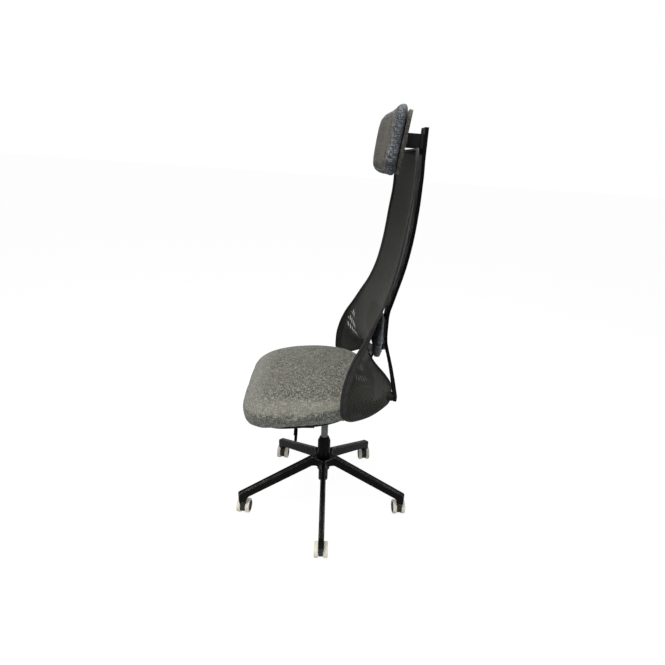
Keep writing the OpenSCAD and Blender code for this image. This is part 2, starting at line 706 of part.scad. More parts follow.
module tilt_axle() color(bright_steel) translate([0, tilt_axle_y, tilt_axle_z])
    rod_x(tilt_axle_d / 2, -tilt_axle_half_l, tilt_axle_half_l);

module tilt_spring() color(bright_steel) {
    both_sides() {
        translate([0, tilt_axle_y, tilt_axle_z]) difference() {
            rod_x(spring_r, spring_leg_x - spring_wire_r, spring_half_l);
            rod_x(tilt_axle_d / 2 + spring_clear, 0, 2 * spring_half_l);
        }
        translate([spring_leg_x, 0, spring_leg_z])
            rod_y(spring_wire_r, -knob_y, tilt_axle_y - spring_leg_in);
        translate([0, -knob_y, spring_leg_z]) rod_x(spring_wire_r, -cut, spring_leg_x);
        translate([spring_leg_x, -knob_y, spring_leg_z]) sphere(r = spring_wire_r);
    }
}

module tension_knob() color(dark_plastic) {
    difference() {
        translate([0, -knob_y, knob_top_z - knob_h]) cylinder(h = knob_h, r = knob_d / 2);
        for (i = [1:knob_grips]) translate([0, -knob_y, knob_top_z - knob_h - cut])
            rotate([0, 0, i * 360 / knob_grips]) translate([knob_d / 2 + knob_grip_r / 2, 0, 0])
                cylinder(h = knob_h - knob_grip_r, r = knob_grip_r);
    }
    translate([0, -knob_y, knob_top_z - cut])
        cylinder(h = spring_leg_z - spring_wire_r - pass_gap - knob_top_z + cut, r = knob_screw_r);
}

// One lever with its shaft on the +X side, at rest
module lever() {
    rod_y(lever_shaft_r, -lever_y - lever_r, lever_post_rear_y + lever_post_t);
    translate([0, -lever_y, 0]) rotate([0, lever_slope, 0]) {
        rod_x(lever_r, 0, lever_l - paddle_l / 2);
        translate([lever_l - paddle_l + paddle_w / 2, 0, -paddle_t / 2]) linear_extrude(paddle_t) {
            square([paddle_l - paddle_w, paddle_w], center = false);
            translate([0, paddle_w / 2]) circle(r = paddle_w / 2);
            translate([paddle_l - paddle_w, paddle_w / 2]) circle(r = paddle_w / 2);
        }
    }
}

module height_lever() color(dark_plastic) translate([lever_shaft_x, 0, lever_shaft_z]) {
    lever();
    translate([-lever_shaft_x, -tongue_w / 2, -tongue_t / 2]) cube([lever_shaft_x, tongue_w, tongue_t]);
    translate([-lever_shaft_x, 0, pass_gap]) rod_y(tongue_tip, -tongue_w / 2, tongue_w / 2);
}

module lock_lever() color(dark_plastic) mirror([1, 0, 0]) translate([lever_shaft_x, 0, lever_shaft_z])
    lever();

// Seat
module seat_carrier() color(black_coat) on_slope() difference() {
    union() {
        difference() {
            translate([-carrier_half, -carrier_front, carrier_low_z])
                cube([2 * carrier_half, carrier_front + carrier_rear, carrier_t]);
            translate([-window_x, -window_front, carrier_low_z - cut])
                cube([2 * window_x, window_front + window_rear, carrier_t + 2 * cut]);
        }
        both_sides() {
            translate([carrier_half - carrier_t, -carrier_front, carrier_low_z - carrier_lip])
                cube([carrier_t, carrier_front + carrier_rear, carrier_lip + carrier_t]);
            translate([0, tilt_axle_y, tilt_axle_z]) rod_x(ear_r, window_x, window_x + carrier_t);
            translate([window_x, tilt_axle_y - ear_r, tilt_axle_z])
                cube([carrier_t, 2 * ear_r, carrier_top_z - tilt_axle_z]);
        }
    }
    translate([0, tilt_axle_y, tilt_axle_z]) rod_x(tilt_axle_d / 2 + run_fit, -housing_w, housing_w);
    for (p = seat_screw_places) translate([p[0], p[1], carrier_low_z - cut])
        cylinder(h = carrier_t + 2 * cut, r = screw_r + fixed_fit);
    for (p = yoke_screw_places) translate([p[0], p[1], carrier_low_z - cut])
        cylinder(h = carrier_t + 2 * cut, r = screw_r + fixed_fit);
}

module seat_screws() color(bright_steel) on_slope()
    for (p = seat_screw_places) translate([p[0], p[1], 0]) {
    translate([0, 0, carrier_low_z - screw_head_t]) cylinder(h = screw_head_t, r = screw_head_r);
    translate([0, 0, carrier_low_z - cut]) cylinder(h = screw_l + cut, r = screw_r);
}

module yoke_screws() color(bright_steel) on_slope()
    for (p = yoke_screw_places) translate([p[0], p[1], 0]) {
    translate([0, 0, carrier_low_z - yoke_t - screw_head_t])
        cylinder(h = screw_head_t, r = screw_head_r);
    translate([0, 0, carrier_low_z - yoke_t - cut])
        cylinder(h = yoke_t + carrier_t + cut - pass_gap, r = screw_r);
}

// Band of constant thickness along a path, as one outline
function path_side(p, i) = let (a = p[max(i - 1, 0)], b = p[min(i + 1, len(p) - 1)], d = unit(b - a))
    [-d[1], d[0]];
function band(p, t) = concat([for (i = [0:len(p) - 1]) p[i] + t / 2 * path_side(p, i)],
    reversed([for (i = [0:len(p) - 1]) p[i] - t / 2 * path_side(p, i)]));

module back_yoke() color(black_coat) difference() {
    intersection() {
        translate([-seat_w / 2, 0, 0]) rotate([90, 0, 90]) linear_extrude(seat_w)
            polygon(band(smooth_path([for (p = yoke_path_shares) yoke_start
                + [p[0] * yoke_reach, p[0] * yoke_reach * tan(seat_slope) + p[1] * yoke_rise]], 4), yoke_t));
        linear_extrude(spine_top_z) polygon(mirrored([[yoke_front_w / 2, yoke_y],
            [yoke_front_w / 2, yoke_y + yoke_bar_l], [yoke_out_x, yoke_face_y - yoke_bend_l],
            [yoke_out_x, yoke_face_y], [yoke_in_x, yoke_face_y],
            [yoke_in_x, yoke_face_y - yoke_bend_l], [yoke_notch_x, yoke_y + yoke_bar_l + yoke_notch_l]]));
    }
    on_slope() for (p = yoke_screw_places) translate([p[0], p[1], carrier_low_z - 2 * yoke_t])
        cylinder(h = 3 * yoke_t, r = screw_r + fixed_fit);
    both_sides() translate([foot_x, 0, foot_screw_z])
        rod_y(screw_r + fixed_fit, yoke_face_y - 2 * yoke_t, yoke_face_y + cut);
}

function seat_outline(a) = let (front = sin(a) < 0, p = front ? front_power : rear_power)
    [seat_w / 2 * signed_power(cos(a), 2 / p),
     (front ? seat_front : seat_rear) * signed_power(sin(a), 2 / p)];
seat_turns = [for (k = [0:seat_points - 1]) (k + 0.5) * 360 / seat_points];

// The pan carries a level boss at each side, with four upright holes for an armrest
module seat_pan() color(dark_plastic) difference() {
    union() {
        on_slope() translate([0, -seat_mid, pan_low_z]) linear_extrude(pan_t)
            polygon([for (a = seat_turns) pan_share * seat_outline(a)]);
        both_sides() translate([arm_hole_x - arm_boss_w / 2, -arm_hole_y - arm_boss_w / 2, arm_boss_z])
            cube([arm_boss_w, arm_boss_w, 2 * arm_boss_drop]);
    }
    on_slope() for (p = seat_screw_places) translate([p[0], p[1], pan_low_z - cut])
        cylinder(h = screw_l - carrier_t + cut + pass_gap, r = screw_r + fixed_fit);
    for (side = [-1, 1]) for (dx = [-0.5, 0.5]) for (dy = [-0.5, 0.5])
        translate([side * arm_hole_x + dx * arm_hole_pitch, dy * arm_hole_pitch - arm_hole_y,
            arm_boss_z - cut]) cylinder(h = arm_hole_depth + cut, r = arm_hole_r);
}

// One ring of the cushion: s is its share of the plan, and u its height share above or below the edge
function cushion_ring(s, u, up) = [for (a = seat_turns) let (p = s * seat_outline(a),
    v = p[1] / (p[1] > 0 ? seat_rear : seat_front),
    top = (1 - cushion_mid_share) * cushion_t + cushion_crown * (1 - s * s)
        - (v > 0 ? cushion_rear_dip : cushion_front_dip) * v * v,
    low = cushion_mid_share * cushion_t + (v > 0 ? 0 : cushion_front_drop * pow(v, 4)))
    [p[0], p[1] - seat_mid, cushion_low_z + cushion_mid_share * cushion_t + (up ? u * top : -u * low)]];
function bulge(s, p) = pow(1 - pow(s, p), 1 / p);

module seat_cushion() color(melange_grey) on_slope() skin(concat(
    [for (s = cushion_low_shares) cushion_ring(s, bulge(s, low_power), false)],
    [for (s = cushion_top_shares) cushion_ring(s, bulge(s, top_power), true)]));

// Spine
spine_side = [for (k = [0:spine_steps]) let (s = k / spine_steps)
    [foot_y + spine_bow * smooth_at(spine_bow_shares, s), foot_z + s * spine_h]];
foot_out_x = foot_x + foot_w / 2;
foot_in_x = foot_x - foot_w / 2;
fork_outer = smooth_path([for (p = fork_outer_shares)
    [mix(spine_w / 2, foot_out_x, p[0]), foot_z + p[1] * spine_h]], 3);
fork_inner = smooth_path([for (p = fork_inner_shares) [p[0] * foot_in_x, foot_z + p[1] * spine_h]], 3);
head_slot_z = foot_z + head_slot_share * spine_h;
head_slot_h = head_lug_h + head_travel + 2 * pass_gap;
lumbar_slot_h = lumbar_lug_h + 2 * lumbar_travel + 2 * pass_gap;
clip_z = foot_z + back_h - clip_h / 2;

module spine() color(black_coat) difference() {
    union() {
        intersection() {
            translate([-foot_out_x - cut, 0, 0]) rotate([90, 0, 90])
                linear_extrude(2 * (foot_out_x + cut))
                polygon(concat(spine_side, reversed([for (p = spine_side) p - [spine_t, 0]])));
            translate([0, foot_y + 2 * spine_bow, 0]) rotate([90, 0, 0]) linear_extrude(foot_y)
                polygon(mirrored(concat(reversed(fork_inner), fork_outer,
                    [[spine_w / 2, spine_top_z + cut]])));
        }
        translate([-clip_w / 2, clip_y, clip_z])
            cube([clip_w, head_face_y + spine_t / 2 - clip_y, clip_h]);
    }
    translate([-slot_w / 2, 0, head_slot_z]) cube([slot_w, 2 * foot_y, head_slot_h]);
    translate([-slot_w / 2, 0, lumbar_mid_z - lumbar_slot_h / 2])
        cube([slot_w, 2 * foot_y, lumbar_slot_h]);
    both_sides() translate([foot_x, 0, foot_screw_z]) rod_y(screw_r + fixed_fit, 0, 2 * foot_y);
}

module spine_screws() color(bright_steel) both_sides() translate([foot_x, 0, foot_screw_z]) {
    rod_y(foot_screw_head_r, foot_y, foot_y + foot_screw_head_t);
    rod_y(screw_r, yoke_face_y - yoke_t + cut, foot_y + cut);
}

// Mesh back: t turns from one side edge at -1 to the other at 1, and v rises from the feet to the top
function back_half(v) = mix(back_top_w / 2, wing_half, smooth_at(back_width_shares, v));
function back_edge(v) = wing_front_y + wing_depth * smooth_at(back_edge_shares, v);
function back_middle(v) = wing_front_y + wing_depth * smooth_at(back_middle_shares, v);
function turn_share(t, m) = m < 0.5 ? sign(t) * sqrt(1 - pow(cos(90 * t), 1 / m))
    : 2 * (1 - m) * sin(90 * t) + (2 * m - 1) * t;
function back_point(t, v) = let (m = smooth_at(back_round_shares, v), s = turn_share(t, m),
    e = back_edge(v), c = back_middle(v))
    [back_half(v) * s, e + (c - e) * pow(max(0, 1 - s * s), m), foot_z + back_h * v];
function back_normal(t, v) = let (e = 0.004, a = back_point(min(t + e, 1), v),
    b = back_point(max(t - e, -1), v), c = back_point(t, v + e), d = back_point(t, v - e))
    unit(cross(a - b, c - d));
// Rise of a rounded corner of radius r at distance d from the edge
function corner_rise(d, r) = d >= r ? 0 : r - sqrt(r * r - (r - d) * (r - d));
function back_low(t) = smooth_at(back_low_shares, turn_share(abs(t), back_round_shares[0][1]))
    + corner_rise((1 - abs(t)) * wing_depth * PI / 2, wing_corner_r) / back_h;
function back_high(t) = 1 - corner_rise((1 - abs(t)) * back_top_w / 2, top_corner_r) / back_h;
columns = concat(-reversed(half_columns_shares), [for (k = [1:len(half_columns_shares) - 1])
    half_columns_shares[k]]);
function grid_v(t, k) = mix(back_low(t), back_high(t), pow(k / back_rows, row_power));

function tris(a, b, c, d) = [[a, b, c], [a, c, d]];

module back_mesh() color(mesh_grey) {
    n = len(columns);
    m = back_rows;
    half_t = mesh_t / 2;
    points = [for (side = [-1, 1]) for (k = [0:m]) for (t = columns) let (v = grid_v(t, k))
        back_point(t, v) + side * half_t * back_normal(t, v)];
    q = n * (m + 1);
    sheet = [for (k = [0:m - 1]) for (i = [0:n - 2]) let (a = k * n + i)
        each concat(tris(a, a + 1, a + n + 1, a + n), tris(q + a, q + a + n, q + a + n + 1, q + a + 1))];
    ends = [for (i = [0:n - 2]) let (b = m * n + i)
        each concat(tris(i, q + i, q + i + 1, i + 1), tris(b, b + 1, q + b + 1, q + b))];
    sides = [for (k = [0:m - 1]) let (a = k * n, b = k * n + n - 1)
        each concat(tris(a, a + n, q + a + n, q + a), tris(b, q + b, q + b + n, b + n))];
    polyhedron(points = points, faces = concat(sheet, ends, sides), convexity = 8);
}

// Places round the border of the mesh, as pairs of t and v
border = concat([for (t = columns) [t, grid_v(t, 0)]],
    [for (k = [1:back_rows - 1]) [1, grid_v(1, k)]],
    [for (t = reversed(columns)) [t, grid_v(t, back_rows)]],
    [for (k = [back_rows - 1:-1:1]) [-1, grid_v(-1, k)]]);
rim_section = [for (k = [0:rim_sides - 1]) let (a = (k + 0.5) * 360 / rim_sides)
    [rim_w / 2 * signed_power(cos(a), rim_round_share),
     rim_t / 2 * signed_power(sin(a), rim_round_share)]];

module back_frame() color(rim_grey) difference() {
    union() {
        n = len(border);
        rings = [for (i = [0:n - 1]) let (p = border[i], a = border[(i + n - 1) % n],
            b = border[(i + 1) % n], c = back_point(p[0], p[1]), up = back_normal(p[0], p[1]),
            along = unit(back_point(b[0], b[1]) - back_point(a[0], a[1])),
            inward = unit(cross(up, along)))
            [for (q = rim_section) c + q[0] * inward + q[1] * unit(cross(along, inward))]];
        m = rim_sides;
        polyhedron(points = [for (r = rings) for (p = r) p], faces = [for (i = [0:n - 1])
            for (k = [0:m - 1]) let (j = (i + 1) % n, l = (k + 1) % m) each
                [[i * m + k, j * m + k, j * m + l], [i * m + k, j * m + l, i * m + l]]], convexity = 8);
        both_sides() translate([foot_in_x, yoke_face_y, foot_screw_z - foot_h / 2])
            cube([foot_w, yoke_gap, foot_h]);
    }
    both_sides() translate([foot_x, 0, foot_screw_z]) rod_y(screw_r + fixed_fit, 0, 2 * foot_y);
}

// Lumbar support
module lumbar_bracket() color(dark_plastic) {
    translate([-lumbar_plate_w / 2, lumbar_face_y - pass_gap - lumbar_plate_t,
        lumbar_mid_z - lumbar_plate_h / 2]) cube([lumbar_plate_w, lumbar_plate_t, lumbar_plate_h]);
    translate([pass_gap - slot_w / 2, lumbar_face_y - pass_gap - cut, lumbar_mid_z - lumbar_lug_h / 2])
        cube([slot_w - 2 * pass_gap, spine_t + 2 * pass_gap + cut + lug_washer_t / 2, lumbar_lug_h]);
    translate([0, 0, lumbar_mid_z]) rod_y(lug_washer_r, lumbar_face_y + spine_t + pass_gap,
        lumbar_face_y + spine_t + pass_gap + lug_washer_t);
}

// A pad: rings of a rounded outline of width w and height h, bowed by bend and thinned towards its top
function pad_outline(a, w, h) = [w / 2 * signed_power(cos(a), 2 / pad_power),
    h / 2 * signed_power(sin(a), 2 / pad_power)];
function pad_ring(s, u, up, w, h, low_t, high_t, bend) = [for (k = [0:pad_points - 1])
    let (a = (k + 0.5) * 360 / pad_points, p = s * pad_outline(a, w, h), q = p[0] / (w / 2),
        t = mix(low_t, high_t, 0.5 + p[1] / h))
    [p[0], -bend * q * q - t * (up ? pad_mid_share + (1 - pad_mid_share) * u
        : pad_mid_share * (1 - u)), p[1]]];
module pad(w, h, low_t, high_t, bend) skin(concat(
    [for (s = pad_rear_shares) pad_ring(s, bulge(s, pad_rear_power), false, w, h, low_t, high_t, bend)],
    [for (s = pad_front_shares)
        pad_ring(s, bulge(s, pad_front_power), true, w, h, low_t, high_t, bend)]));

module lumbar_pad() color(blue_grey)
    translate([0, lumbar_face_y - 2 * pass_gap - lumbar_plate_t, lumbar_low_z + lumbar_h / 2])
        pad(lumbar_w, lumbar_h, lumbar_t, lumbar_top_t, lumbar_bend);

// Headrest
head_turn = atan(head_lean / head_h);
head_rear_y = head_face_y - head_stand + head_bend;
module at_head() translate([0, head_rear_y, head_mid_z]) rotate([-head_turn, 0, 0]) children();
function head_arc(y) = [for (k = [-head_steps:head_steps]) let (s = k / head_steps)
    [s * head_w / 2, y - head_bend * s * s]];

module headrest_shell() color(dark_plastic) {
    at_head() intersection() {
        translate([0, 0, -head_h]) linear_extrude(2 * head_h)
            polygon(concat(head_arc(0), reversed(head_arc(-head_shell_t))));
        rotate([90, 0, 0]) translate([0, 0, -head_h]) linear_extrude(2 * head_h)
            polygon([for (k = [0:pad_points - 1]) head_shell_share
                * pad_outline((k + 0.5) * 360 / pad_points, head_w, head_h)]);
    }
    translate([-head_boss_w / 2, head_rear_y - head_shell_t / 2, head_plate_z])
        cube([head_boss_w, head_shell_t / 2 + head_boss_l, head_plate_h]);
}

module headrest_pad() color(melange_grey) at_head() translate([0, -head_shell_t - pass_gap, 0])
    pad(head_w, head_h, head_t, head_t, head_bend);

module headrest_bracket() color(dark_plastic) {
    translate([-head_plate_w / 2, head_face_y - pass_gap - head_plate_t, head_plate_z])
        cube([head_plate_w, head_plate_t, head_plate_h]);
    translate([-head_arm_w / 2, head_rear_y + head_boss_l, head_plate_z])
        cube([head_arm_w, head_face_y - pass_gap - head_rear_y - head_boss_l, head_plate_h]);
    translate([pass_gap - slot_w / 2, head_face_y - pass_gap - cut, head_slot_z + pass_gap])
        cube([slot_w - 2 * pass_gap, spine_t + 2 * pass_gap + cut + lug_washer_t / 2, head_lug_h]);
    translate([0, 0, head_slot_z + pass_gap + head_lug_h / 2]) rod_y(lug_washer_r,
        head_face_y + spine_t + pass_gap, head_face_y + spine_t + pass_gap + lug_washer_t);
}

star_base();
lift_tube();
lift_bush();
lift_rod();
rod_clip();
thrust_bearing();
gas_cylinder();
release_pin();
tilt_housing();
tilt_axle();
tilt_spring();
tension_knob();
height_lever();
lock_lever();
seat_carrier();
back_yoke();
seat_pan();
seat_screws();
yoke_screws();
seat_cushion();
spine();
spine_screws();
back_frame();
back_mesh();
lumbar_bracket();
lumbar_pad();
headrest_bracket();
headrest_shell();
headrest_pad();
caster_stems();
for (i = [1:legs]) {
    caster_fork(i);
    caster_axle(i);
    left_hub(i);
    left_tyre(i);
    right_hub(i);
    right_tyre(i);
}
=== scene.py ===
"""Looks of a tall office chair with a mesh back, in the frame of its CAD model. Lengths are in metres."""
import math

import bpy
import numpy as np
from mathutils import Matrix, Vector


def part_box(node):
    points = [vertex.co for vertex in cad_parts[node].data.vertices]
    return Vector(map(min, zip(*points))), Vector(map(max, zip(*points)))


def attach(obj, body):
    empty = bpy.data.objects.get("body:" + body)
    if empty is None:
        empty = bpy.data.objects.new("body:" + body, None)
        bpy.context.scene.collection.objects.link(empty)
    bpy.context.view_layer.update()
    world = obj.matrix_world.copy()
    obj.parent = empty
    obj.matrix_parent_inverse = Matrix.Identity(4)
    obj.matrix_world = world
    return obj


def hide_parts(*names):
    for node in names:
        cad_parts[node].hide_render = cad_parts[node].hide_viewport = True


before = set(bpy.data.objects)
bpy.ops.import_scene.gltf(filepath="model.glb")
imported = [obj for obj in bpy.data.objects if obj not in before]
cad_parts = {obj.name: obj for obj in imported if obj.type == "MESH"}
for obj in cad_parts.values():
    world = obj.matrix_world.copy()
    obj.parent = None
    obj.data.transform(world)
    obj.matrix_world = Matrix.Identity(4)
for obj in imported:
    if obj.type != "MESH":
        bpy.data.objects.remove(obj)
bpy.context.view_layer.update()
scene = bpy.context.scene
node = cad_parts
MM = 0.001

# Camera of the photograph: its focal length and centre in pixels, and its turns in radians

FOCAL_PX, CENTRE_X, CENTRE_Y, IMAGE = 442.80, 359.59, 381.62, 665
EYE = Vector((1.3912, -0.0288, 1.2175))
PITCH, YAW, ROLL = 0.4606, -0.1047, 0.0710
SENSOR_MM = 36


def make_camera():
    ahead = Vector((-math.cos(YAW) * math.cos(PITCH), -math.sin(YAW) * math.cos(PITCH), -math.sin(PITCH)))
    right = Vector((-math.sin(YAW), math.cos(YAW), 0))
    up = right.cross(ahead)
    side = math.cos(ROLL) * right + math.sin(ROLL) * up
    top = -math.sin(ROLL) * right + math.cos(ROLL) * up
    data = bpy.data.cameras.new("photo_camera")
    data.sensor_width = SENSOR_MM
    data.lens = FOCAL_PX * SENSOR_MM / IMAGE
    data.shift_x = (IMAGE / 2 - CENTRE_X) / IMAGE
    data.shift_y = (CENTRE_Y - IMAGE / 2) / IMAGE
    cam = bpy.data.objects.new("photo_camera", data)
    scene.collection.objects.link(cam)
    cam.matrix_world = Matrix.Translation(EYE) @ Matrix((side, top, -ahead)).transposed().to_4x4()
    scene.camera = cam


make_camera()


# Materials. A scale of noise is in cells per metre, and a bump's distance is the height of the relief.

class Nodes:
    """The node tree of a material or a world. A node is added with its inputs in one call."""

    def __init__(self, owner):
        owner.use_nodes = True
        self.owner, self.tree = owner, owner.node_tree
        self.tree.nodes.clear()

    def node(self, kind, props=None, **inputs):
        """A new node. An input is given by name, or as iN by its place N."""
        made = self.tree.nodes.new("ShaderNode" + kind)
        for key, value in (props or {}).items():
            setattr(made, key, value)
        for key, value in inputs.items():
            by_place = key[0] == "i" and key[1:].isdigit()
            socket = made.inputs[int(key[1:]) if by_place else key.replace("_", " ")]
            if isinstance(value, bpy.types.NodeSocket):
                self.tree.links.new(value, socket)
            else:
                is_colour = socket.type == "RGBA" and len(value) == 3
                socket.default_value = (*value, 1) if is_colour else value
        return made

    def add(self, kind, out=0, props=None, **inputs):
        return self.node(kind, props, **inputs).outputs[out]

    def math(self, op, a, b=0.0, c=None, clamp=False):
        extra = {} if c is None else {"i2": c}
        return self.add("Math", props={"operation": op, "use_clamp": clamp}, i0=a, i1=b, **extra)

    def times(self, a, b, clamp=False):
        return self.math("MULTIPLY", a, b, clamp=clamp)

    def plus(self, a, b, clamp=False):
        return self.math("ADD", a, b, clamp=clamp)

    def wave(self, value, pitch):
        """Rounded ridges at a pitch, from 0 to 1."""
        return self.math("ABSOLUTE", self.math("SINE", self.times(value, math.pi / pitch)))

    def cell(self, value):
        """Distance from the middle of the unit cell that holds a value."""
        return self.math("SUBTRACT", self.math("FRACT", value), 0.5)

    def squares(self, a, b):
        return self.plus(self.times(a, a), self.times(b, b))

    def ramp(self, value, low, high, a=0.0, b=1.0, smooth=True):
        return self.add("MapRange", props={"interpolation_type": "SMOOTHSTEP" if smooth else "LINEAR"},
                        Value=value, From_Min=low, From_Max=high, To_Min=a, To_Max=b)

    def mix(self, share, a, b):
        return self.add("Mix", out=2, props={"data_type": "RGBA"}, i0=share, i6=a, i7=b)

    def place(self):
        return self.add("TexCoord", out=3)

    def parts(self, vector):
        return self.node("SeparateXYZ", Vector=vector).outputs

    def uv(self, name):
        return self.add("UVMap", props={"uv_map": name})

    def stretched(self, vector, scale):
        return self.add("Mapping", Vector=vector, Scale=scale)

    def noise(self, vector, scale, detail=2.0, roughness=0.5):
        return self.add("TexNoise", Vector=vector, Scale=scale, Detail=detail, Roughness=roughness)

    def bump(self, height, distance, strength=1.0, **normal):
        return self.add("Bump", Strength=strength, Distance=distance, Height=height, **normal)

    def seen_ray(self):
        """1 for a camera, glossy or transmission ray, and 0 for the rays that only light the scene."""
        path = self.node("LightPath").outputs
        indirect = self.math("MAXIMUM", path["Is Glossy Ray"], path["Is Transmission Ray"])
        return self.math("MAXIMUM", path["Is Camera Ray"], indirect)

    def finish(self, shader, kind="OutputMaterial"):
        self.node(kind, Surface=shader)
        return self.owner


def material(name):
    return Nodes(bpy.data.materials.new(name))


def scaled(colour, k):
    return tuple(c * k for c in colour)


def coated(name, colour, rough, grain=900.0, depth=0.00012, spec=0.06,
           edge=(0.2, 0.2, 0.2), edge_share=0.5, edge_r=0.0016, highlight_from_above=False):
    """Powder coat or moulded plastic: fine grain, lighter edges that are partly wear and partly a painted
    highlight, and a little dust.
    With the flag for light from above, only the edges that face up are lightened, as a painted highlight
    from above, in longer runs."""
    dust_scale, dust_share, wear_and_highlight_scale = 26, 0.3, 40 if highlight_from_above else 160
    m = material(name)
    at = m.place()
    cloud = m.noise(at, dust_scale, 3)
    rounded = m.add("Bevel", props={"samples": 6}, Radius=edge_r)
    flat = m.add("NewGeometry", out=1)
    bent = m.add("VectorMath", out=1, props={"operation": "DOT_PRODUCT"}, i0=rounded, i1=flat)
    # Lighter edges where the rounded normal bends away: partly wear, partly a painted highlight
    edge_wear_and_highlight = m.times(m.ramp(bent, 0.995, 0.86), edge_share)
    edge_wear_and_highlight = m.times(edge_wear_and_highlight, m.ramp(m.noise(at, wear_and_highlight_scale, 2), 0.3, 0.6, 0.4, 1.0))
    # Painted highlight from above: only the edges that face up keep it
    if highlight_from_above:
        edge_wear_and_highlight = m.times(edge_wear_and_highlight, m.ramp(m.parts(rounded)[2], 0.1, 0.45))
    dusty = tuple(c * 1.6 + 0.003 for c in colour)
    base = m.mix(m.times(m.ramp(cloud, 0.42, 0.72), dust_share), colour, dusty)
    return m.finish(m.add("BsdfPrincipled", Base_Color=m.mix(edge_wear_and_highlight, base, edge), Specular_IOR_Level=spec,
                          Roughness=m.ramp(cloud, 0.3, 0.7, rough - 0.05, rough + 0.09),
                          Normal=m.bump(m.noise(at, grain, 2), depth, 0.5, Normal=rounded)))


def bright(name, colour, rough):
    """Zinc-plated or drawn steel, with turned rings and dull patches."""
    ring_scale, ring_stretch, patch_scale, patch_shade = 120, 30, 60, 0.72
    m = material(name)
    at = m.place()
    rings = m.noise(m.stretched(at, (1, 1, ring_stretch)), ring_scale, 3)
    dull = m.ramp(m.noise(at, patch_scale, 3), 0.4, 0.7)
    return m.finish(m.add("BsdfPrincipled", Base_Color=m.mix(dull, colour, scaled(colour, patch_shade)),
                          Metallic=1.0, Roughness=m.ramp(rings, 0.3, 0.7, rough - 0.06, rough + 0.1),
                          Normal=m.bump(rings, 0.0001, 0.4)))


def tread(name, colour, dirt):
    """Soft off-white tread, greyer where it rolls."""
    dirt_top, dirt_share, cloud_scale, cloud_share, grain = 0.05, 0.75, 70, 0.18, 700
    m = material(name)
    at = m.place()
    cloud = m.noise(at, cloud_scale, 4)
    low = m.ramp(m.parts(at)[2], 0.001, dirt_top, dirt_share, 0.0)
    stain = m.times(low, m.ramp(cloud, 0.3, 0.7), clamp=True)
    base = m.mix(m.plus(stain, m.times(cloud, cloud_share), clamp=True), colour, dirt)
    return m.finish(m.add("BsdfPrincipled", Base_Color=base, Roughness=0.58,
                          Normal=m.bump(m.noise(at, grain, 2), 0.0001, 0.5)))


def threads(m, flat, pitch, along):
    """Height of the threads that run along x or y of a flat vector, in a plain weave."""
    parts = m.parts(flat)
    across, length = parts[1 - along], parts[along]
    odd_row = m.times(m.math("FLOOR", m.times(across, 1 / pitch)), math.pi)
    over = m.math("SINE", m.plus(m.times(length, math.pi / pitch), odd_row))
    return m.times(m.wave(across, pitch), m.math("MULTIPLY_ADD", over, 0.5, 0.6))


# Width and length of a fleck of the wool mix, and how far its threads wander
FLECK_W, FLECK_L = 0.0028, 0.012
WANDER, WANDER_SCALE = 0.0011, 90.0


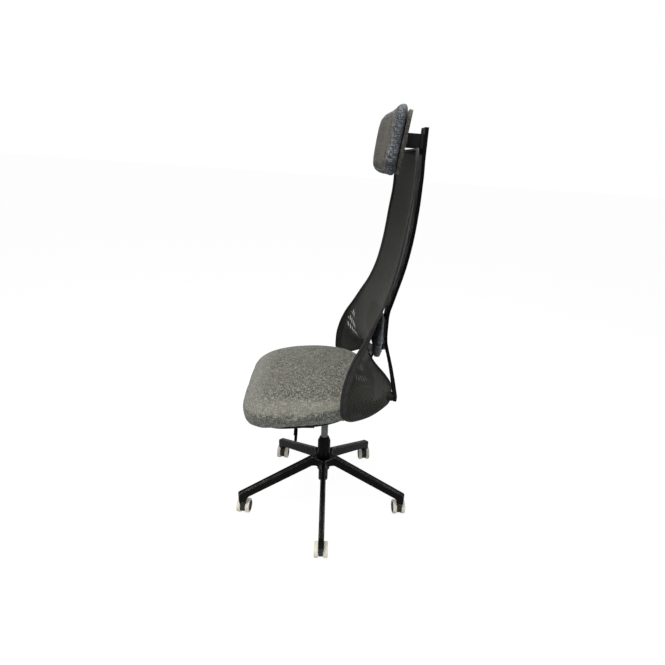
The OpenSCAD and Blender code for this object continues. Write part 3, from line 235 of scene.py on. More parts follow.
def melange(name, dark, mid, light, pitch=0.0015, warm=(1, 1, 1), sheen=0.25, crest_highlight=0.0):
    """Woven wool mix: threads of several greys, laid from three sides by the surface's own direction.
    The crest share paints a highlight on the rim of the upper side, and with it the faces that turn sideways
    and down get a painted cool shade."""
    side_power, cloud_scale, grain_scale, patch_scale = 5.0, 55, 420, 9
    m = material(name)
    at = m.place()
    drift = m.add("TexNoise", out=1, Vector=at, Scale=WANDER_SCALE, Detail=1.0)
    moved = m.add("VectorMath", props={"operation": "MULTIPLY_ADD"}, i0=drift, i1=(WANDER,) * 3, i2=at)
    x, y, z = m.parts(moved)
    normal = m.parts(m.add("NewGeometry", out=1))
    heights, flecks, weights = [], [], []
    for u, v, facing in ((x, y, normal[2]), (y, z, normal[0]), (x, z, normal[1])):
        flat = m.add("CombineXYZ", X=u, Y=v)
        heights.append(m.math("MAXIMUM", threads(m, flat, pitch, 0), threads(m, flat, pitch, 1)))
        warp = m.noise(m.stretched(flat, (1 / FLECK_W, 1 / FLECK_L, 1)), 1.0, 1)
        weft = m.noise(m.stretched(flat, (1 / FLECK_L, 1 / FLECK_W, 1)), 1.0, 1)
        flecks.append(m.plus(m.times(warp, 0.5), m.times(weft, 0.5)))
        weights.append(m.math("POWER", m.math("ABSOLUTE", facing), side_power))

    def total(values):
        return m.plus(m.plus(values[0], values[1]), values[2])

    def blended(values):
        return m.math("DIVIDE", total([m.times(a, w) for a, w in zip(values, weights)]), total(weights))

    height = blended(heights)
    grain = m.noise(at, grain_scale, 2, 0.7)
    cloudy = m.math("MULTIPLY_ADD", m.noise(at, cloud_scale, 3, 0.6), 0.22, -0.11)
    tone = m.plus(cloudy, m.plus(blended(flecks), m.math("MULTIPLY_ADD", grain, 0.34, -0.17)))
    base = m.mix(m.ramp(tone, 0.4, 0.5), dark, mid)
    base = m.mix(m.ramp(tone, 0.5, 0.61), base, light)
    base = m.mix(m.ramp(height, 0.2, 0.75, 0.55, 0.0), base, scaled(dark, 0.35))
    patch = m.ramp(m.noise(at, patch_scale, 2), 0.35, 0.65, 0.0, 0.25)
    base = m.mix(patch, base, tuple(c * w for c, w in zip(mid, warm)))
    if crest_highlight:
        up = normal[2]
        # Painted highlight: a lighter band on the rim where the top turns into the side
        band = m.times(m.ramp(up, 0.97, 0.86), m.ramp(up, 0.4, 0.7))
        base = m.mix(m.times(band, crest_highlight), base, scaled(light, 0.75))
        # Painted shade: faces that turn sideways and down take a cooler grey
        cool = (mid[0] * 0.8, mid[1] * 0.92, mid[2] * 1.05)
        base = m.mix(m.ramp(up, 0.5, 0.2, 0.0, 0.3), base, cool)
    fuzz = m.plus(height, m.times(grain, 0.6))
    return m.finish(m.add("BsdfPrincipled", Base_Color=base, Roughness=0.92, Specular_IOR_Level=0.2,
                          Sheen_Weight=sheen, Sheen_Roughness=0.5, Sheen_Tint=(0.8, 0.82, 0.84),
                          Normal=m.bump(fuzz, 0.0006, 0.7)))


# Pitches of the mesh cloth's holes and of its larger slots, across and up, and the pitch of its ribs
HOLE_PITCH, SLOT_PITCH, RIB_PITCH = (0.0026, 0.0034), (0.0125, 0.031), 0.0078
# Half axes of a hole's and of a slot's oval, in cells, and how far the rows of slots are shifted
HOLE_OVAL, SLOT_OVAL, SLOT_SHIFT = (1 / 2.6, 1 / 2.1), (1 / 3.6, 1 / 2.7), 0.2
# Middle of a wing's slotted zone, across from the middle line and up from the feet, and its half sizes
SLOT_ZONE, SLOT_ZONE_R = (0.246, 0.126), (0.036, 0.056)
# Distances up the cloth between which a painted shade darkens it, and how open its holes and slots are
SHADE_FROM, SHADE_TO = 0.15, 0.5
HOLE_OPEN, SLOT_OPEN = 0.05, 0.4


def oval(m, column, row, half_axes):
    """Square of the distance from the middle of a cell: 1 on an oval with these half axes."""
    return m.squares(*(m.times(m.cell(place), 1 / half) for place, half in zip((column, row), half_axes)))


def open_mesh(name, dark, light):
    """Knitted mesh: rows of small holes between upright ribs, with a zone of larger slots low on each wing.
    Its UV is in metres along the cloth, with u across from the middle line and v up from the feet."""
    cloud_scale, yarn_scale = 14, (900, 160, 1)
    m = material(name)
    uv = m.uv("cloth")
    u, v, _ = m.parts(uv)
    column = m.times(u, 1 / HOLE_PITCH[0])
    odd = m.math("MODULO", m.math("ABSOLUTE", m.math("FLOOR", column)), 2.0)
    row = m.plus(m.times(v, 1 / HOLE_PITCH[1]), m.times(odd, 0.5))
    off_hole = oval(m, column, row, HOLE_OVAL)
    slot_row = m.math("MULTIPLY_ADD", v, 1 / SLOT_PITCH[1], SLOT_SHIFT)
    off_slot = oval(m, m.times(u, 1 / SLOT_PITCH[0]), slot_row, SLOT_OVAL)
    zone_u, zone_v = (m.math("MULTIPLY_ADD", value, 1 / r, -middle / r)
                      for value, middle, r in zip((m.math("ABSOLUTE", u), v), SLOT_ZONE, SLOT_ZONE_R))
    zone = m.ramp(m.squares(zone_u, zone_v), 1.1, 0.5)
    slot = m.times(m.ramp(off_slot, 1.0, 0.3, 0.0, SLOT_OPEN), zone)
    rib = m.wave(u, RIB_PITCH)
    cloud = m.noise(m.place(), cloud_scale, 3)
    yarn = m.noise(m.stretched(uv, yarn_scale), 1.0, 2)
    tone = m.math("MULTIPLY_ADD", rib, 0.35, m.times(cloud, 0.35))
    tone = m.plus(tone, m.math("MULTIPLY_ADD", yarn, 0.5, -0.15))
    base = m.mix(m.ramp(tone, 0.2, 0.75), dark, light)
    base = m.mix(m.ramp(off_hole, 0.7, 0.35, 0.0, 0.6), base, scaled(dark, 0.4))
    # Painted shade: the cloth turns darker higher up
    base = m.mix(m.ramp(v, SHADE_FROM, SHADE_TO, 0.0, 0.5), base, dark)
    knit = m.plus(m.math("MINIMUM", off_hole, 1.0), m.times(rib, 0.7))
    cloth = m.add("BsdfPrincipled", Base_Color=base, Roughness=0.7, Specular_IOR_Level=0.05,
                  Sheen_Weight=0.05, Sheen_Roughness=0.4, Normal=m.bump(knit, 0.0005, 0.8))
    open_share = m.math("MAXIMUM", m.times(m.ramp(off_hole, 0.42, 0.24), HOLE_OPEN), slot)
    return m.finish(m.add("MixShader", i0=open_share, i1=cloth, i2=m.add("BsdfTransparent")))


def hem_knit(name, dark, light):
    """Tight knitted band. Its UV is in metres, with u along the band and v across it."""
    along_pitch, across_pitch, cloud_scale = 0.0022, 0.0016, 60
    m = material(name)
    u, v, _ = m.parts(m.uv("band"))
    knit = m.times(m.wave(u, along_pitch), m.wave(v, across_pitch))
    tone = m.plus(m.times(knit, 0.5), m.times(m.noise(m.place(), cloud_scale, 3), 0.5))
    return m.finish(m.add("BsdfPrincipled", Base_Color=m.mix(m.ramp(tone, 0.2, 0.7), dark, light),
                          Roughness=0.66, Specular_IOR_Level=0.08, Sheen_Weight=0.1, Sheen_Roughness=0.35,
                          Normal=m.bump(knit, 0.00035, 0.6)))


BLACK_COAT = coated("black_coat", (0.005, 0.005, 0.0052), 0.34, spec=0.03)
# Star base: its light lines along the tops of the legs' bevels are a painted highlight from above
BASE_COAT = coated("base_coat", (0.006, 0.0058, 0.0055), 0.3, spec=0.025, edge=(0.4, 0.4, 0.4),
                   edge_share=0.9, edge_r=0.0036, highlight_from_above=True)
SPINE_COAT = coated("spine_coat", (0.004, 0.004, 0.0043), 0.42, spec=0.02, edge=(0.04, 0.04, 0.04),
                    edge_share=0.4)
PLASTIC = coated("dark_plastic", (0.01, 0.01, 0.0105), 0.5, grain=520, depth=0.0002, edge=(0.07, 0.07, 0.07),
                 edge_share=0.4)
FORK = coated("fork_plastic", (0.03, 0.03, 0.027), 0.5, grain=520, edge=(0.12, 0.12, 0.11))
ZINC = bright("bright_zinc", (0.62, 0.62, 0.64), 0.3)
CHROME = bright("drawn_steel", (0.09, 0.092, 0.1), 0.24)
TREAD = tread("soft_tread", (0.74, 0.71, 0.61), (0.33, 0.31, 0.26))
SHELL = melange("shell_melange", (0.018, 0.0165, 0.015), (0.05, 0.047, 0.042), (0.15, 0.14, 0.125),
                warm=(1.06, 1.0, 0.94))
# Seat cloth, with a painted highlight on its upper rim and a painted cool shade on its sides and underside
SEAT_CLOTH = melange("seat_melange", (0.035, 0.037, 0.033), (0.12, 0.122, 0.107), (0.36, 0.36, 0.315),
                     warm=(1.06, 1.02, 0.94), sheen=0.2, crest_highlight=0.4)
# Headrest front cloth: a painted lit copy of the headrest's cloth, warm as the light that falls on it
HEAD_LIT_CLOTH = melange("head_lit_melange", (0.022, 0.0205, 0.018), (0.06, 0.056, 0.049), (0.17, 0.158, 0.138),
                     warm=(1.08, 1.0, 0.92), sheen=0.04)
# Cool cloth: painted shade on the headrest's sides, as a shaded copy of its cloth, and the lumbar pad's own
# blue-grey
SIDE_CLOTH = melange("side_melange", (0.02, 0.024, 0.028), (0.07, 0.077, 0.084), (0.26, 0.278, 0.295),
                     warm=(0.95, 1.0, 1.08), sheen=0.08)
PIPING = melange("seam_melange", (0.04, 0.038, 0.036), (0.1, 0.096, 0.088), (0.2, 0.19, 0.175), pitch=0.001)
MESH = open_mesh("open_mesh", (0.01, 0.0102, 0.0088), (0.04, 0.0405, 0.0355))
HEM = hem_knit("hem_knit", (0.011, 0.0115, 0.0115), (0.036, 0.037, 0.0365))


def numbered(*stems):
    return [f"{stem}_{i}" for stem in stems for i in range(1, 6)]


FORKS, HUBS = numbered("caster_fork"), numbered("left_hub", "right_hub")
NODE_LOOKS = {
    BASE_COAT: ["star_base"],
    BLACK_COAT: ["lift_tube", "tilt_housing", "seat_carrier", "back_yoke"],
    SPINE_COAT: ["spine"],
    PLASTIC: ["lift_bush", "tension_knob", "height_lever", "lock_lever", "seat_pan", "lumbar_bracket",
              "headrest_bracket", *HUBS],
    SHELL: ["headrest_shell"],
    FORK: FORKS,
    ZINC: ["lift_rod", "rod_clip", "thrust_bearing", "release_pin", "tilt_axle", "tilt_spring",
           "seat_screws", "yoke_screws", "spine_screws", "caster_stems", *numbered("caster_axle")],
    CHROME: ["gas_cylinder"],
    TREAD: numbered("left_tyre", "right_tyre"),
}
for look, names in NODE_LOOKS.items():
    for name in names:
        data = node[name].data
        data.materials.clear()
        data.materials.append(look)


# Fine rounding of the rigid pieces' edges, by its radius

EDGE_ROUNDING = {
    0.0026: ["star_base"],
    0.0016: ["spine", "tilt_housing", "seat_pan"],
    0.0010: ["height_lever", "lock_lever", "back_yoke", "seat_carrier", "headrest_bracket", "lumbar_bracket",
             "headrest_shell", "tension_knob", *FORKS],
    0.0006: ["lift_tube", "seat_screws", "yoke_screws", "spine_screws", *HUBS],
}


def round_edges(ob, width):
    weld = ob.modifiers.new("weld", "WELD")
    weld.merge_threshold = 0.00002
    flat = ob.modifiers.new("flat_faces", "DECIMATE")
    flat.decimate_type = "DISSOLVE"
    flat.angle_limit = math.radians(0.6)
    bevel = ob.modifiers.new("edges", "BEVEL")
    bevel.width, bevel.segments = width, 3
    bevel.limit_method, bevel.angle_limit = "ANGLE", math.radians(32)
    bevel.harden_normals = True


for width, names in EDGE_ROUNDING.items():
    for name in names:
        round_edges(node[name], width)


# Shapes

def mesh_object(name, verts, faces, look=None, uvs=None, uv_name="cloth"):
    """A smooth mesh object from its points and faces. uvs holds one pair for each point."""
    me = bpy.data.meshes.new(name)
    me.from_pydata([tuple(map(float, v)) for v in verts], [], faces)
    me.update()
    if look:
        me.materials.append(look)
    me.shade_smooth()
    if uvs is not None:
        layer = me.uv_layers.new(name=uv_name)
        index = np.zeros(len(me.loops), int)
        me.loops.foreach_get("vertex_index", index)
        layer.data.foreach_set("uv", np.asarray(uvs, np.float32)[index].ravel())
    ob = bpy.data.objects.new(name, me)
    scene.collection.objects.link(ob)
    return ob


def points_of(ob, field="co"):
    values = np.zeros(len(ob.data.vertices) * 3)
    ob.data.vertices.foreach_get(field, values)
    return values.reshape(-1, 3)


def set_points(ob, co):
    ob.data.vertices.foreach_set("co", np.asarray(co, np.float32).ravel())
    ob.data.update()


def apply_modifiers(ob):
    graph = bpy.context.evaluated_depsgraph_get()
    made = bpy.data.meshes.new_from_object(ob.evaluated_get(graph))
    ob.modifiers.clear()
    old = ob.data
    ob.data = made
    bpy.data.meshes.remove(old)


def unit(vectors):
    return vectors / np.linalg.norm(vectors, axis=-1, keepdims=True)


def loop_smoothed(p, times):
    for _ in range(times):
        p = 0.5 * p + 0.25 * (np.roll(p, 1, 0) + np.roll(p, -1, 0))
    return p


def smoothstep(x, a, b):
    s = np.clip((x - a) / (b - a), 0, 1)
    return s * s * (3 - 2 * s)


CLOTH_FRAMES, PRESSURE = 20, 4.0


def blow_up(ob, cap):
    """Cloth under air pressure. No point ends farther than cap from its start."""
    start = points_of(ob)
    cloth = ob.modifiers.new("cloth", "CLOTH")
    cloth.collision_settings.use_collision = False
    s = cloth.settings
    s.quality = 5
    s.mass = 0.3
    s.tension_stiffness = s.compression_stiffness = 40
    s.shear_stiffness = 10
    s.bending_stiffness = 2
    s.air_damping = 4
    s.use_pressure = True
    s.uniform_pressure_force = PRESSURE
    s.effector_weights.gravity = 0
    for f in range(1, CLOTH_FRAMES + 1):
        scene.frame_set(f)
    apply_modifiers(ob)
    scene.frame_set(1)
    moved = points_of(ob) - start
    far = np.linalg.norm(moved, axis=1, keepdims=True)
    set_points(ob, start + moved * np.minimum(1, cap / np.maximum(far, 1e-9)))


def stuffed(ob, voxel, cap, shrink):
    """Turns a closed form into a cushion: even quads, a little smaller, then blown up and made finer."""
    remesh = ob.modifiers.new("even", "REMESH")
    remesh.mode = "VOXEL"
    remesh.voxel_size = voxel
    apply_modifiers(ob)
    smooth = ob.modifiers.new("smooth", "SMOOTH")
    smooth.factor, smooth.iterations = 0.5, 4
    apply_modifiers(ob)
    set_points(ob, points_of(ob) - shrink * points_of(ob, "normal"))
    blow_up(ob, cap)
    fine = ob.modifiers.new("fine", "SUBSURF")
    fine.levels = fine.render_levels = 1
    apply_modifiers(ob)
    ob.data.shade_smooth()


def fitted(ob, name, plump):
    """Stretches a piece a little, so that it fills the box of its CAD node and passes it by plump."""
    low, high = (np.array(c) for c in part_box(name))
    co = points_of(ob)
    a, b = co.min(0), co.max(0)
    set_points(ob, low - plump + (co - a) / (b - a) * (high - low + 2 * plump))


def copy_of(name, new_name, look):
    """A loose copy of a CAD node, to be shaped."""
    ob = node[name].copy()
    ob.data = node[name].data.copy()
    ob.name = new_name
    ob.data.name = new_name
    for key in list(ob.keys()):
        if key.startswith("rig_"):
            del ob[key]
    ob.parent = None
    ob.matrix_world = Matrix.Identity(4)
    scene.collection.objects.link(ob)
    ob.data.materials.clear()
    ob.data.materials.append(look)
    weld = ob.modifiers.new("weld", "WELD")
    weld.merge_threshold = 0.00005
    apply_modifiers(ob)
    return ob


def ring_faces(rings, sides):
    """Quads between closed rings of points that follow each other in a closed loop."""
    return [(i * sides + k, (i + 1) % rings * sides + k, (i + 1) % rings * sides + (k + 1) % sides,
             i * sides + (k + 1) % sides) for i in range(rings) for k in range(sides)]


def closed_tube(name, points, radius, look):
    """A round piping swept along a closed loop of points."""
    sides, steep = 8, 0.9
    ahead = unit(np.roll(points, -1, 0) - np.roll(points, 1, 0))
    up = np.tile((0.0, 0.0, 1.0), (len(points), 1))
    up[np.abs(ahead[:, 2]) > steep] = (0, 1, 0)
    side = unit(np.cross(ahead, up))
    over = np.cross(side, ahead)
    a = (np.arange(sides) * 2 * math.pi / sides)[None, :, None]
    verts = points[:, None] + radius * (np.cos(a) * side[:, None] + np.sin(a) * over[:, None])
    return mesh_object(name, verts.reshape(-1, 3), ring_faces(len(points), sides), look)


# The back's surface, from the sizes and tables of the CAD model

# t turns from one side edge at -1 to the other at 1, and v rises from the feet at 0 to the top edge at 1.
# In millimetres: the feet, the back's height and how far its wings reach forward, its half widths at the top
# and at the wings, and its corner radii
FOOT_Y, FOOT_Z, BACK_H, WING_DEPTH = 213.5, 562.9, 689.0, 170.0
TOP_HALF, WING_HALF = 176.0, 265.0
WING_FRONT_Y = FOOT_Y - WING_DEPTH
CORNER_LOW, CORNER_TOP = 22.0, 34.0
# By height v: the half width as a share of the way from the top's to the wings'
WIDTH = [(-0.067, 1), (-0.005, 1), (0.054, 0.955), (0.127, 0.85), (0.199, 0.7), (0.272, 0.53), (0.344, 0.36),
         (0.417, 0.195), (0.518, 0.06), (0.637, 0.03), (0.751, 0.06), (0.876, 0), (1, 0)]
# By height v: the depth of the side edges and of the middle line, as shares of the wings' depth. The middle
# line lies a little deeper than the CAD model's.
EDGE = [(-0.067, 0.021), (-0.005, -0.005), (0.054, 0.002), (0.127, 0.058), (0.199, 0.163), (0.272, 0.326),
        (0.344, 0.474), (0.417, 0.621), (0.518, 0.753), (0.637, 0.842), (0.751, 0.895), (0.881, 0.942),
        (1, 0.932)]
MIDDLE = [(-0.067, 1.1), (-0.018, 1.04), (0.012, 1.0235), (0.03, 1), (0.054, 0.86), (0.077, 0.7),
          (0.1, 0.605), (0.12, 0.56), (0.151, 0.53), (0.199, 0.518), (0.272, 0.595), (0.344, 0.695),
          (0.417, 0.805), (0.489, 0.92), (0.637, 1.05), (0.72, 1.085), (0.793, 1.095), (0.896, 1.08),
          (1, 1.027)]
# By height v: the power of the cross-section, from boxy to round
ROUND = [(-0.067, 0.22), (0.028, 0.22), (0.054, 0.36), (0.1, 0.48), (0.151, 0.55), (0.275, 0.68),
         (0.43, 0.9), (0.586, 1), (1, 1)]
# By share of the half width: the height v of the lower edge
LOW = [(0, 0.118), (0.12, 0.115), (0.18, 0.104), (0.24, 0.0892), (0.3, 0.0765), (0.36, 0.0665),
       (0.42, 0.0564), (0.48, 0.0433), (0.54, 0.028), (0.6, 0.0135), (0.66, 0.001), (0.7, -0.006),
       (0.736, -0.01), (0.78, -0.009), (0.82, -0.0065), (0.86, -0.0055), (0.9, -0.0074), (0.93, -0.0105),
       (0.96, -0.0173), (0.98, -0.0262), (0.99, -0.033), (0.996, -0.04), (0.999, -0.047), (1, -0.055)]


def smooth_at(table, x):
    """Smooth value of a table at x, an array, which never overshoots its rows."""
    tx, ty = np.array(table, float).T
    rise = np.diff(ty) / np.diff(tx)
    a, b = rise[:-1], rise[1:]
    turn = a * b <= 0
    inner = np.where(turn, 0, 2 * a * b / np.where(turn, 1, a + b))
    slope = np.concatenate([rise[:1], inner, rise[-1:]])
    x = np.asarray(x, float)
    i = np.clip(np.searchsorted(tx, x, side="right") - 1, 0, len(tx) - 2)
    w = tx[i + 1] - tx[i]
    s = (x - tx[i]) / w
    return (ty[i] * (1 - s) ** 2 * (1 + 2 * s) + ty[i + 1] * s * s * (3 - 2 * s)
            + slope[i] * w * s * (1 - s) ** 2 - slope[i + 1] * w * s * s * (1 - s))


def turn_share(t, m):
    """Share of the half width at t: boxy where m is below a half, and rounder above."""
    cosine = np.clip(np.cos(np.pi / 2 * t), 0, 1)
    boxy = np.sign(t) * np.sqrt(np.clip(1 - cosine ** (1 / np.minimum(m, 0.5)), 0, 1))
    shallow = 2 * (1 - m) * np.sin(np.pi / 2 * t) + (2 * m - 1) * t
    return np.where(m < 0.5, boxy, shallow)


def back_point(t, v):
    t, v = np.broadcast_arrays(np.asarray(t, float), np.asarray(v, float))
    m = smooth_at(ROUND, v)
    s = turn_share(t, m)
    half = TOP_HALF + (WING_HALF - TOP_HALF) * smooth_at(WIDTH, v)
    e = WING_FRONT_Y + WING_DEPTH * smooth_at(EDGE, v)
    c = WING_FRONT_Y + WING_DEPTH * smooth_at(MIDDLE, v)
    return MM * np.stack([half * s, e + (c - e) * np.clip(1 - s * s, 0, None) ** m, FOOT_Z + BACK_H * v], -1)


def corner_rise(d, r):
    """Rise of a rounded corner of radius r at distance d from the edge."""
    return np.where(d >= r, 0, r - np.sqrt(np.clip(r * r - (r - d) ** 2, 0, None)))


def back_low(t):
    a = np.abs(t)
    return (smooth_at(LOW, turn_share(a, np.full_like(a, ROUND[0][1])))
            + corner_rise((1 - a) * WING_DEPTH * np.pi / 2, CORNER_LOW) / BACK_H)


def back_high(t):
    return 1 - corner_rise((1 - np.abs(t)) * TOP_HALF, CORNER_TOP) / BACK_H


def back_normal(t, v):
    step = 0.004
    across = back_point(np.minimum(t + step, 1), v) - back_point(np.maximum(t - step, -1), v)
    return unit(np.cross(across, back_point(t, v + step) - back_point(t, v - step)))


COLUMNS, ROWS = 140, 110


def dense_at_edges(power):
    """Places from -1 to 1 that lie closer together towards both ends."""
    knots = np.linspace(-1, 1, COLUMNS + 1)
    return np.sign(knots) * (1 - (1 - np.abs(knots)) ** power)


def path_lengths(p, axis):
    """Distances from the first row or column of a grid of points, measured along the grid."""
    steps = np.linalg.norm(np.diff(p, axis=axis), axis=2)
    start = np.zeros_like(np.take(steps, [0], axis))
    return np.concatenate([start, np.cumsum(steps, axis)], axis)


def make_cloth():
    """The mesh cloth as one curved sheet, with its width, length and area when flat."""
    columns = dense_at_edges(1.35)
    row_share = np.linspace(0, 1, ROWS + 1) ** 1.15
    low, high = back_low(columns), back_high(columns)
    v = low[None] + (high - low)[None] * row_share[:, None]
    p = back_point(np.broadcast_to(columns[None], v.shape), v)
    u = path_lengths(p, 1)
    u -= u[:, COLUMNS // 2][:, None]
    rise = path_lengths(p, 0) + v[0][None] * BACK_H * MM
    n = COLUMNS + 1
    faces = [(k * n + i, k * n + i + 1, (k + 1) * n + i + 1, (k + 1) * n + i)
             for k in range(ROWS) for i in range(COLUMNS)]
    uvs = np.stack([u, rise], -1).reshape(-1, 2)
    cloth = mesh_object("back_cloth", p.reshape(-1, 3), faces, MESH, uvs)
    quad = np.cross(p[1:, 1:] - p[:-1, :-1], p[1:, :-1] - p[:-1, 1:])
    area = 0.5 * np.linalg.norm(quad, axis=2).sum()
    return cloth, float(u.max() - u.min()), float(rise.max() - rise.min()), float(area)


def border_places():
    """Values of t and v round the border of the cloth."""
    dense = dense_at_edges(1.6)
    side_share = np.linspace(0, 1, 150)[1:-1]
    low, high = back_low(dense), back_high(dense)
    side = low[-1] + (high[-1] - low[-1]) * side_share
    one = np.ones_like(side)
    t = np.concatenate([dense, one, dense[::-1], -one])
    v = np.concatenate([low, side, high[::-1], side[::-1]])
    return t, v


def even_loop(values, places, count):
    """Values on a closed loop of places, taken again at even distances, and the loop's length."""
    closed = np.concatenate([places, places[:1]])
    d = np.concatenate([[0], np.cumsum(np.linalg.norm(np.diff(closed, axis=0), axis=1))])
    at = np.linspace(0, d[-1], count, endpoint=False)
    return [np.interp(at, d, np.append(x, x[0])) for x in values], d[-1]


# Cross-section of the hem: the radius of its roll, the roll's middle outside the cloth's edge, half its turn
# in degrees, the start of the sewn strip, half its thickness, its width, and how much wider it is on the
# front edges of the wings
ROLL_R, ROLL_OUT, ROLL_HALF_TURN = 0.0035, 0.0025, 140
STRIP_START, STRIP_HALF_T, STRIP_W, STRIP_WIDER = 0.0012, 0.0021, 0.0035, 0.012
# One side of the strip: shares of its width with shares of its half thickness, with a stitched groove
STRIP_SIDE = [(0.0, 0.55), (0.25, 1.0), (0.6, 1.05), (0.88, 1.0), (0.94, 0.6), (0.97, 0.9), (1.0, 0.55)]
# Height shares between which the wide strip of a wing turns narrow
WIDE_BELOW, NARROW_ABOVE = 0.2, 0.42
HEM_POINTS = 620


def hem_section(wide):
    """Points of the hem's section: distance in from the cloth's edge, and height over the cloth's face."""
    turns = np.radians(180 + np.linspace(-ROLL_HALF_TURN, ROLL_HALF_TURN, 19))
    roll = [(ROLL_R * math.cos(a) - ROLL_OUT, ROLL_R * math.sin(a)) for a in turns]
    over = [(STRIP_START + share * wide, h * STRIP_HALF_T) for share, h in STRIP_SIDE]
    return roll + over + [(x, -y) for x, y in reversed(over)]


def make_hem():
    """A hemmed band over a bent rod round the cloth: a roll at the edge, a groove and a flat sewn strip."""
    t, v = border_places()
    (t, v), length = even_loop((t, v), back_point(t, v), HEM_POINTS)
    p = loop_smoothed(back_point(t, v), 6)
    normal = unit(loop_smoothed(back_normal(t, v), 8))
    along = unit(np.roll(p, -1, 0) - np.roll(p, 1, 0))
    inward = unit(np.cross(normal, along))
    face = np.cross(along, inward)
    height = (p[:, 2] / MM - FOOT_Z) / BACK_H
    side_from = 0.97
    on_side = np.clip((np.abs(t) - side_from) / (1 - side_from), 0, 1)
    wide = STRIP_W + on_side * STRIP_WIDER * smoothstep(height, NARROW_ABOVE, WIDE_BELOW)
    wide = loop_smoothed(wide[:, None], 30)[:, 0]
    under_shift = 0.02
    step = length / HEM_POINTS
    verts, uvs = [], []
    for i in range(HEM_POINTS):
        section = hem_section(wide[i])
        verts += [p[i] + x * inward[i] + y * face[i] for x, y in section]
        uvs += [(i * step, x + (under_shift if y < 0 else 0)) for x, y in section]
    return mesh_object("back_hem", verts, ring_faces(HEM_POINTS, len(section)), HEM, uvs, "band")


cloth, cloth_w, cloth_l, cloth_area = make_cloth()
hem = make_hem()
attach(cloth, "upper")
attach(hem, "upper")
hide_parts("back_mesh")
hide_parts("back_frame")

# Lowest and highest corner of the left foot block, and the rounding of its edges
BLOCK_LOW, BLOCK_HIGH, BLOCK_ROUND = Vector((0.179, 0.181, 0.5639)), Vector((0.211, 0.203, 0.5819)), 0.003


def foot_block(side, label):
    """A block that carries the rim on a foot of the spine, with rounded edges."""
    c, h = (BLOCK_LOW + BLOCK_HIGH) / 2, (BLOCK_HIGH - BLOCK_LOW) / 2
    verts = [(side * c.x + sx * h.x, c.y + sy * h.y, c.z + sz * h.z)
             for sx in (-1, 1) for sy in (-1, 1) for sz in (-1, 1)]
    faces = [(0, 1, 3, 2), (4, 6, 7, 5), (0, 4, 5, 1), (2, 3, 7, 6), (0, 2, 6, 4), (1, 5, 7, 3)]
    ob = mesh_object(f"{label}_foot_block", verts, faces, PLASTIC)
    bevel = ob.modifiers.new("edges", "BEVEL")
    bevel.width, bevel.segments = BLOCK_ROUND, 3
    apply_modifiers(ob)
    ob.data.shade_smooth()
    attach(ob, "upper")


foot_block(1, "left")
foot_block(-1, "right")


# Seat cushion. Its plan is a rounded box with a flat front and a rounder rear, about its widest line.

SEAT_HALF_W, SEAT_MID_Y, SEAT_FRONT, SEAT_REAR = 0.26, -0.07, 0.188, 0.245
SEAT_FRONT_POWER, SEAT_REAR_POWER = 4.0, 2.6
# The top's soft waves, across and along, in radians per metre, then the depth of waves, pulls and sag
SOFT_WAVES = ((21, -17, 9, 33, -27, 14), (12, 19, -24, 8, 15, 31))
SOFT_DEPTH, PULL_DEPTH, SAG = 0.0009, 0.0006, 0.005


def seat_out(x, y):
    """Distance from the seat's middle, as a share of the way to its outline."""
    front = y < SEAT_MID_Y
    reach, power = np.where(front, SEAT_FRONT, SEAT_REAR), np.where(front, SEAT_FRONT_POWER, SEAT_REAR_POWER)
    return ((np.abs(x) / SEAT_HALF_W) ** power + (np.abs(y - SEAT_MID_Y) / reach) ** power) ** (1 / power)


def make_seat():
    """The cover: soft waves on the top, small pulls underneath, and a sag round the pan."""
    ob = copy_of("seat_cushion", "seat_cover", SEAT_CLOTH)
    stuffed(ob, voxel=0.006, cap=0.006, shrink=0.003)
    fitted(ob, "seat_cushion", plump=0.0008)
    co, n = points_of(ob), points_of(ob, "normal")
    x, y, _ = co.T
    phase = np.random.default_rng(4).uniform(0, 6.28, 6)
    soft = sum(np.sin(x * f + y * g + start) for f, g, start in zip(*SOFT_WAVES, phase)) / len(phase)
    under = np.clip(-n[:, 2], 0, 1)
    side = np.clip(1 - np.abs(n[:, 2]) * 1.3, 0, 1)
    angle = np.arctan2(y + 0.05, x)
    pulls, uneven = 46, 7
    pull = np.sin(angle * pulls + 2 * np.sin(angle * uneven)) * np.clip(under * 1.6 - 0.4, 0, 1)
    sag = SAG * smoothstep(seat_out(x, y), 0.77, 0.87) * smoothstep(under, 0.05, 0.6)
    co = co + n * (SOFT_DEPTH * soft * (1 - side) + PULL_DEPTH * pull)[:, None]
    co[:, 2] -= sag
    set_points(ob, co)
    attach(ob, "upper")
    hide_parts("seat_cushion")


make_seat()


# Lumbar pad

def make_lumbar():
    ob = copy_of("lumbar_pad", "lumbar_cover", SIDE_CLOTH)
    stuffed(ob, voxel=0.004, cap=0.002, shrink=0.001)
    fitted(ob, "lumbar_pad", plump=0.0)
    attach(ob, "lumbar_support")
    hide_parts("lumbar_pad")


make_lumbar()


# Headrest. It leans back and its ends curve forward.

# Origin and lean of the headrest's own frame
HEAD_ANCHOR = np.array((0, 0.18997, 1.2669))
HEAD_LEAN = math.atan(23 / 164)
# The pad's width and height, how far its ends curve forward, and its rear face's distance from the origin
HEAD_W, HEAD_H, HEAD_BOW, HEAD_REAR = 0.318, 0.164, 0.016, 0.0103
# How far the front face's top edge drops and its foot rises, and the height from the middle where both end
HEAD_TOP_DROP, HEAD_FOOT_RISE, HEAD_SLOPE_H = 0.023, 0.006, 0.08
# The seam: a boxy oval, as shares of the half width, and of the half height above and below the middle
SEAM_SHARE, SEAM_TOP, SEAM_FOOT, SEAM_POWER, SEAM_DEPTH = 0.955, 0.82, 0.95, 6, 0.036
SEAM_HALF_W, SEAM_HALF_H = SEAM_SHARE * HEAD_W / 2, SEAM_SHARE * HEAD_H / 2
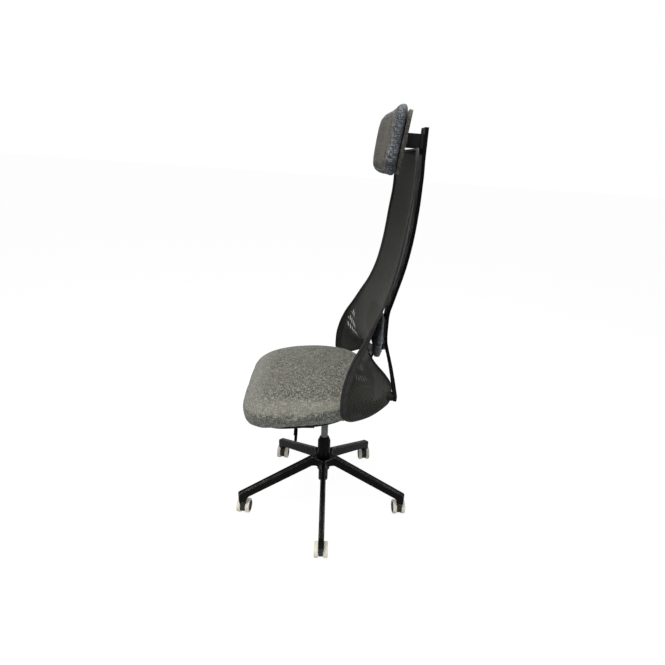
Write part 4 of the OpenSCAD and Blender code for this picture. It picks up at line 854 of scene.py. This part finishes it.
# Depth from which the pad counts as its front, and the depths between which its slope grows
FRONT_FROM, SLOPE_FROM, SLOPE_TO = 0.02, 0.018, 0.043
PIPE_R, PIPE_SUNK = 0.0014, 0.0004


def head_depth(y, x):
    """Depth in front of the rear face for a place y, or the place for a depth: one rule serves both ways."""
    return -y - HEAD_REAR - HEAD_BOW * (x / (HEAD_W / 2)) ** 2


def head_local(co):
    """Points in the headrest's own frame: across, depth from its rear face to its front, and height."""
    c, s = math.cos(HEAD_LEAN), math.sin(HEAD_LEAN)
    x, y, z = (co - HEAD_ANCHOR).T
    return np.stack([x, head_depth(c * y - s * z, x), s * y + c * z], 1)


def head_world(local):
    c, s = math.cos(HEAD_LEAN), math.sin(HEAD_LEAN)
    x, depth, z = local.T
    y = head_depth(depth, x)
    return np.stack([x, c * y + s * z, -s * y + c * z], 1) + HEAD_ANCHOR


def on_surface(ob, line):
    """The places on a piece's surface that lie nearest to a line, a little sunk in."""
    found = []
    for p in line:
        _, at, n, _ = ob.closest_point_on_mesh(Vector(p))
        found.append(tuple(at - PIPE_SUNK * n))
    return loop_smoothed(np.array(found), 3)


def seam_target():
    a = np.linspace(0, 2 * np.pi, 200, endpoint=False)
    across, up = (np.sign(w) * np.abs(w) ** (2 / SEAM_POWER) for w in (np.cos(a), np.sin(a)))
    z = SEAM_HALF_H * up * np.where(np.sin(a) > 0, SEAM_TOP, SEAM_FOOT)
    return head_world(np.stack([SEAM_HALF_W * across, np.full_like(z, SEAM_DEPTH), z], 1))


def inside_seam(places):
    x, depth, z = places.T
    z = z / np.where(z > 0, SEAM_TOP, SEAM_FOOT)
    oval = np.abs(x / SEAM_HALF_W) ** SEAM_POWER + np.abs(z / SEAM_HALF_H) ** SEAM_POWER
    return (oval < 1) & (depth > FRONT_FROM)


def make_head():
    """The cover, with warm cloth inside its seam as its painted lit face and cool cloth round its sides as
    painted shade, and the seam's piping.
    """
    ob = copy_of("headrest_pad", "headrest_cover", HEAD_LIT_CLOTH)
    local = head_local(points_of(ob))
    front = np.clip((local[:, 1] - SLOPE_FROM) / (SLOPE_TO - SLOPE_FROM), 0, 1) ** 1.6
    local[:, 2] -= HEAD_TOP_DROP * front * smoothstep(local[:, 2], 0.0, HEAD_SLOPE_H)
    local[:, 2] += HEAD_FOOT_RISE * front * smoothstep(-local[:, 2], 0.0, HEAD_SLOPE_H)
    set_points(ob, head_world(local))
    stuffed(ob, voxel=0.004, cap=0.002, shrink=0.001)
    fitted(ob, "headrest_pad", plump=0.0004)
    pipe = closed_tube("headrest_seam", on_surface(ob, seam_target()), PIPE_R, PIPING)
    # The sides outside the seam get the cool cloth as painted shade
    ob.data.materials.append(SIDE_CLOTH)
    local = head_local(points_of(ob))
    centres = np.array([local[list(f.vertices)].mean(0) for f in ob.data.polygons])
    ob.data.polygons.foreach_set("material_index", np.where(inside_seam(centres), 0, 1).astype(np.int32))
    for piece in (ob, pipe):
        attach(piece, "headrest")
    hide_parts("headrest_pad")


make_head()


# Stage: a pale floor that shows nearly white to the camera, a white surround and three soft lamps

FLOOR_HALF, FLOOR_SHADE, FLOOR_WHITE_SHARE, FLOOR_WHITE = 40, (0.8, 0.8, 0.8), 0.9, 1.06
WORLD_LIGHT = 0.36
# Each lamp's place, the place that it points at, its watts, its width and its colour
LAMPS = {
    "key_lamp": ((0.9, -0.5, 2.9), (0, 0, 0.6), 75, 1.2, (1, 0.975, 0.93)),
    "fill_lamp": ((2.4, 0.9, 0.8), (0, 0, 0.5), 9, 1.8, (0.9, 0.96, 1)),
    "back_lamp": ((-1.2, 1.8, 2.2), (0, 0, 0.7), 22, 1.6, (1, 1, 1)),
}


def make_floor():
    corners = [(x * FLOOR_HALF, y * FLOOR_HALF, 0) for x, y in ((-1, -1), (1, -1), (1, 1), (-1, 1))]
    floor = mesh_object("floor", corners, [(0, 1, 2, 3)])
    m = material("pale_floor")
    diffuse = m.add("BsdfDiffuse", Color=FLOOR_SHADE)
    white = m.add("Emission", Color=(1, 1, 1), Strength=FLOOR_WHITE)
    share = m.times(m.seen_ray(), FLOOR_WHITE_SHARE)
    floor.data.materials.append(m.finish(m.add("MixShader", i0=share, i1=diffuse, i2=white)))


def make_world():
    scene.world = bpy.data.worlds.new("studio")
    w = Nodes(scene.world)
    strength = w.ramp(w.seen_ray(), 0, 1, WORLD_LIGHT, 1.0, smooth=False)
    w.finish(w.add("Background", Color=(1, 1, 1), Strength=strength), "OutputWorld")


def make_lamp(name, at, aim, power, width, tint):
    lamp = bpy.data.lights.new(name, "AREA")
    lamp.energy, lamp.size, lamp.color = power, width, tint
    ob = bpy.data.objects.new(name, lamp)
    scene.collection.objects.link(ob)
    ob.location = at
    ob.rotation_mode = "QUATERNION"
    ob.rotation_quaternion = (Vector(aim) - Vector(at)).to_track_quat("-Z", "Y")


make_floor()
make_world()
for name, sizes in LAMPS.items():
    make_lamp(name, *sizes)
scene.view_settings.view_transform = "Standard"

bpy.context.view_layer.update()
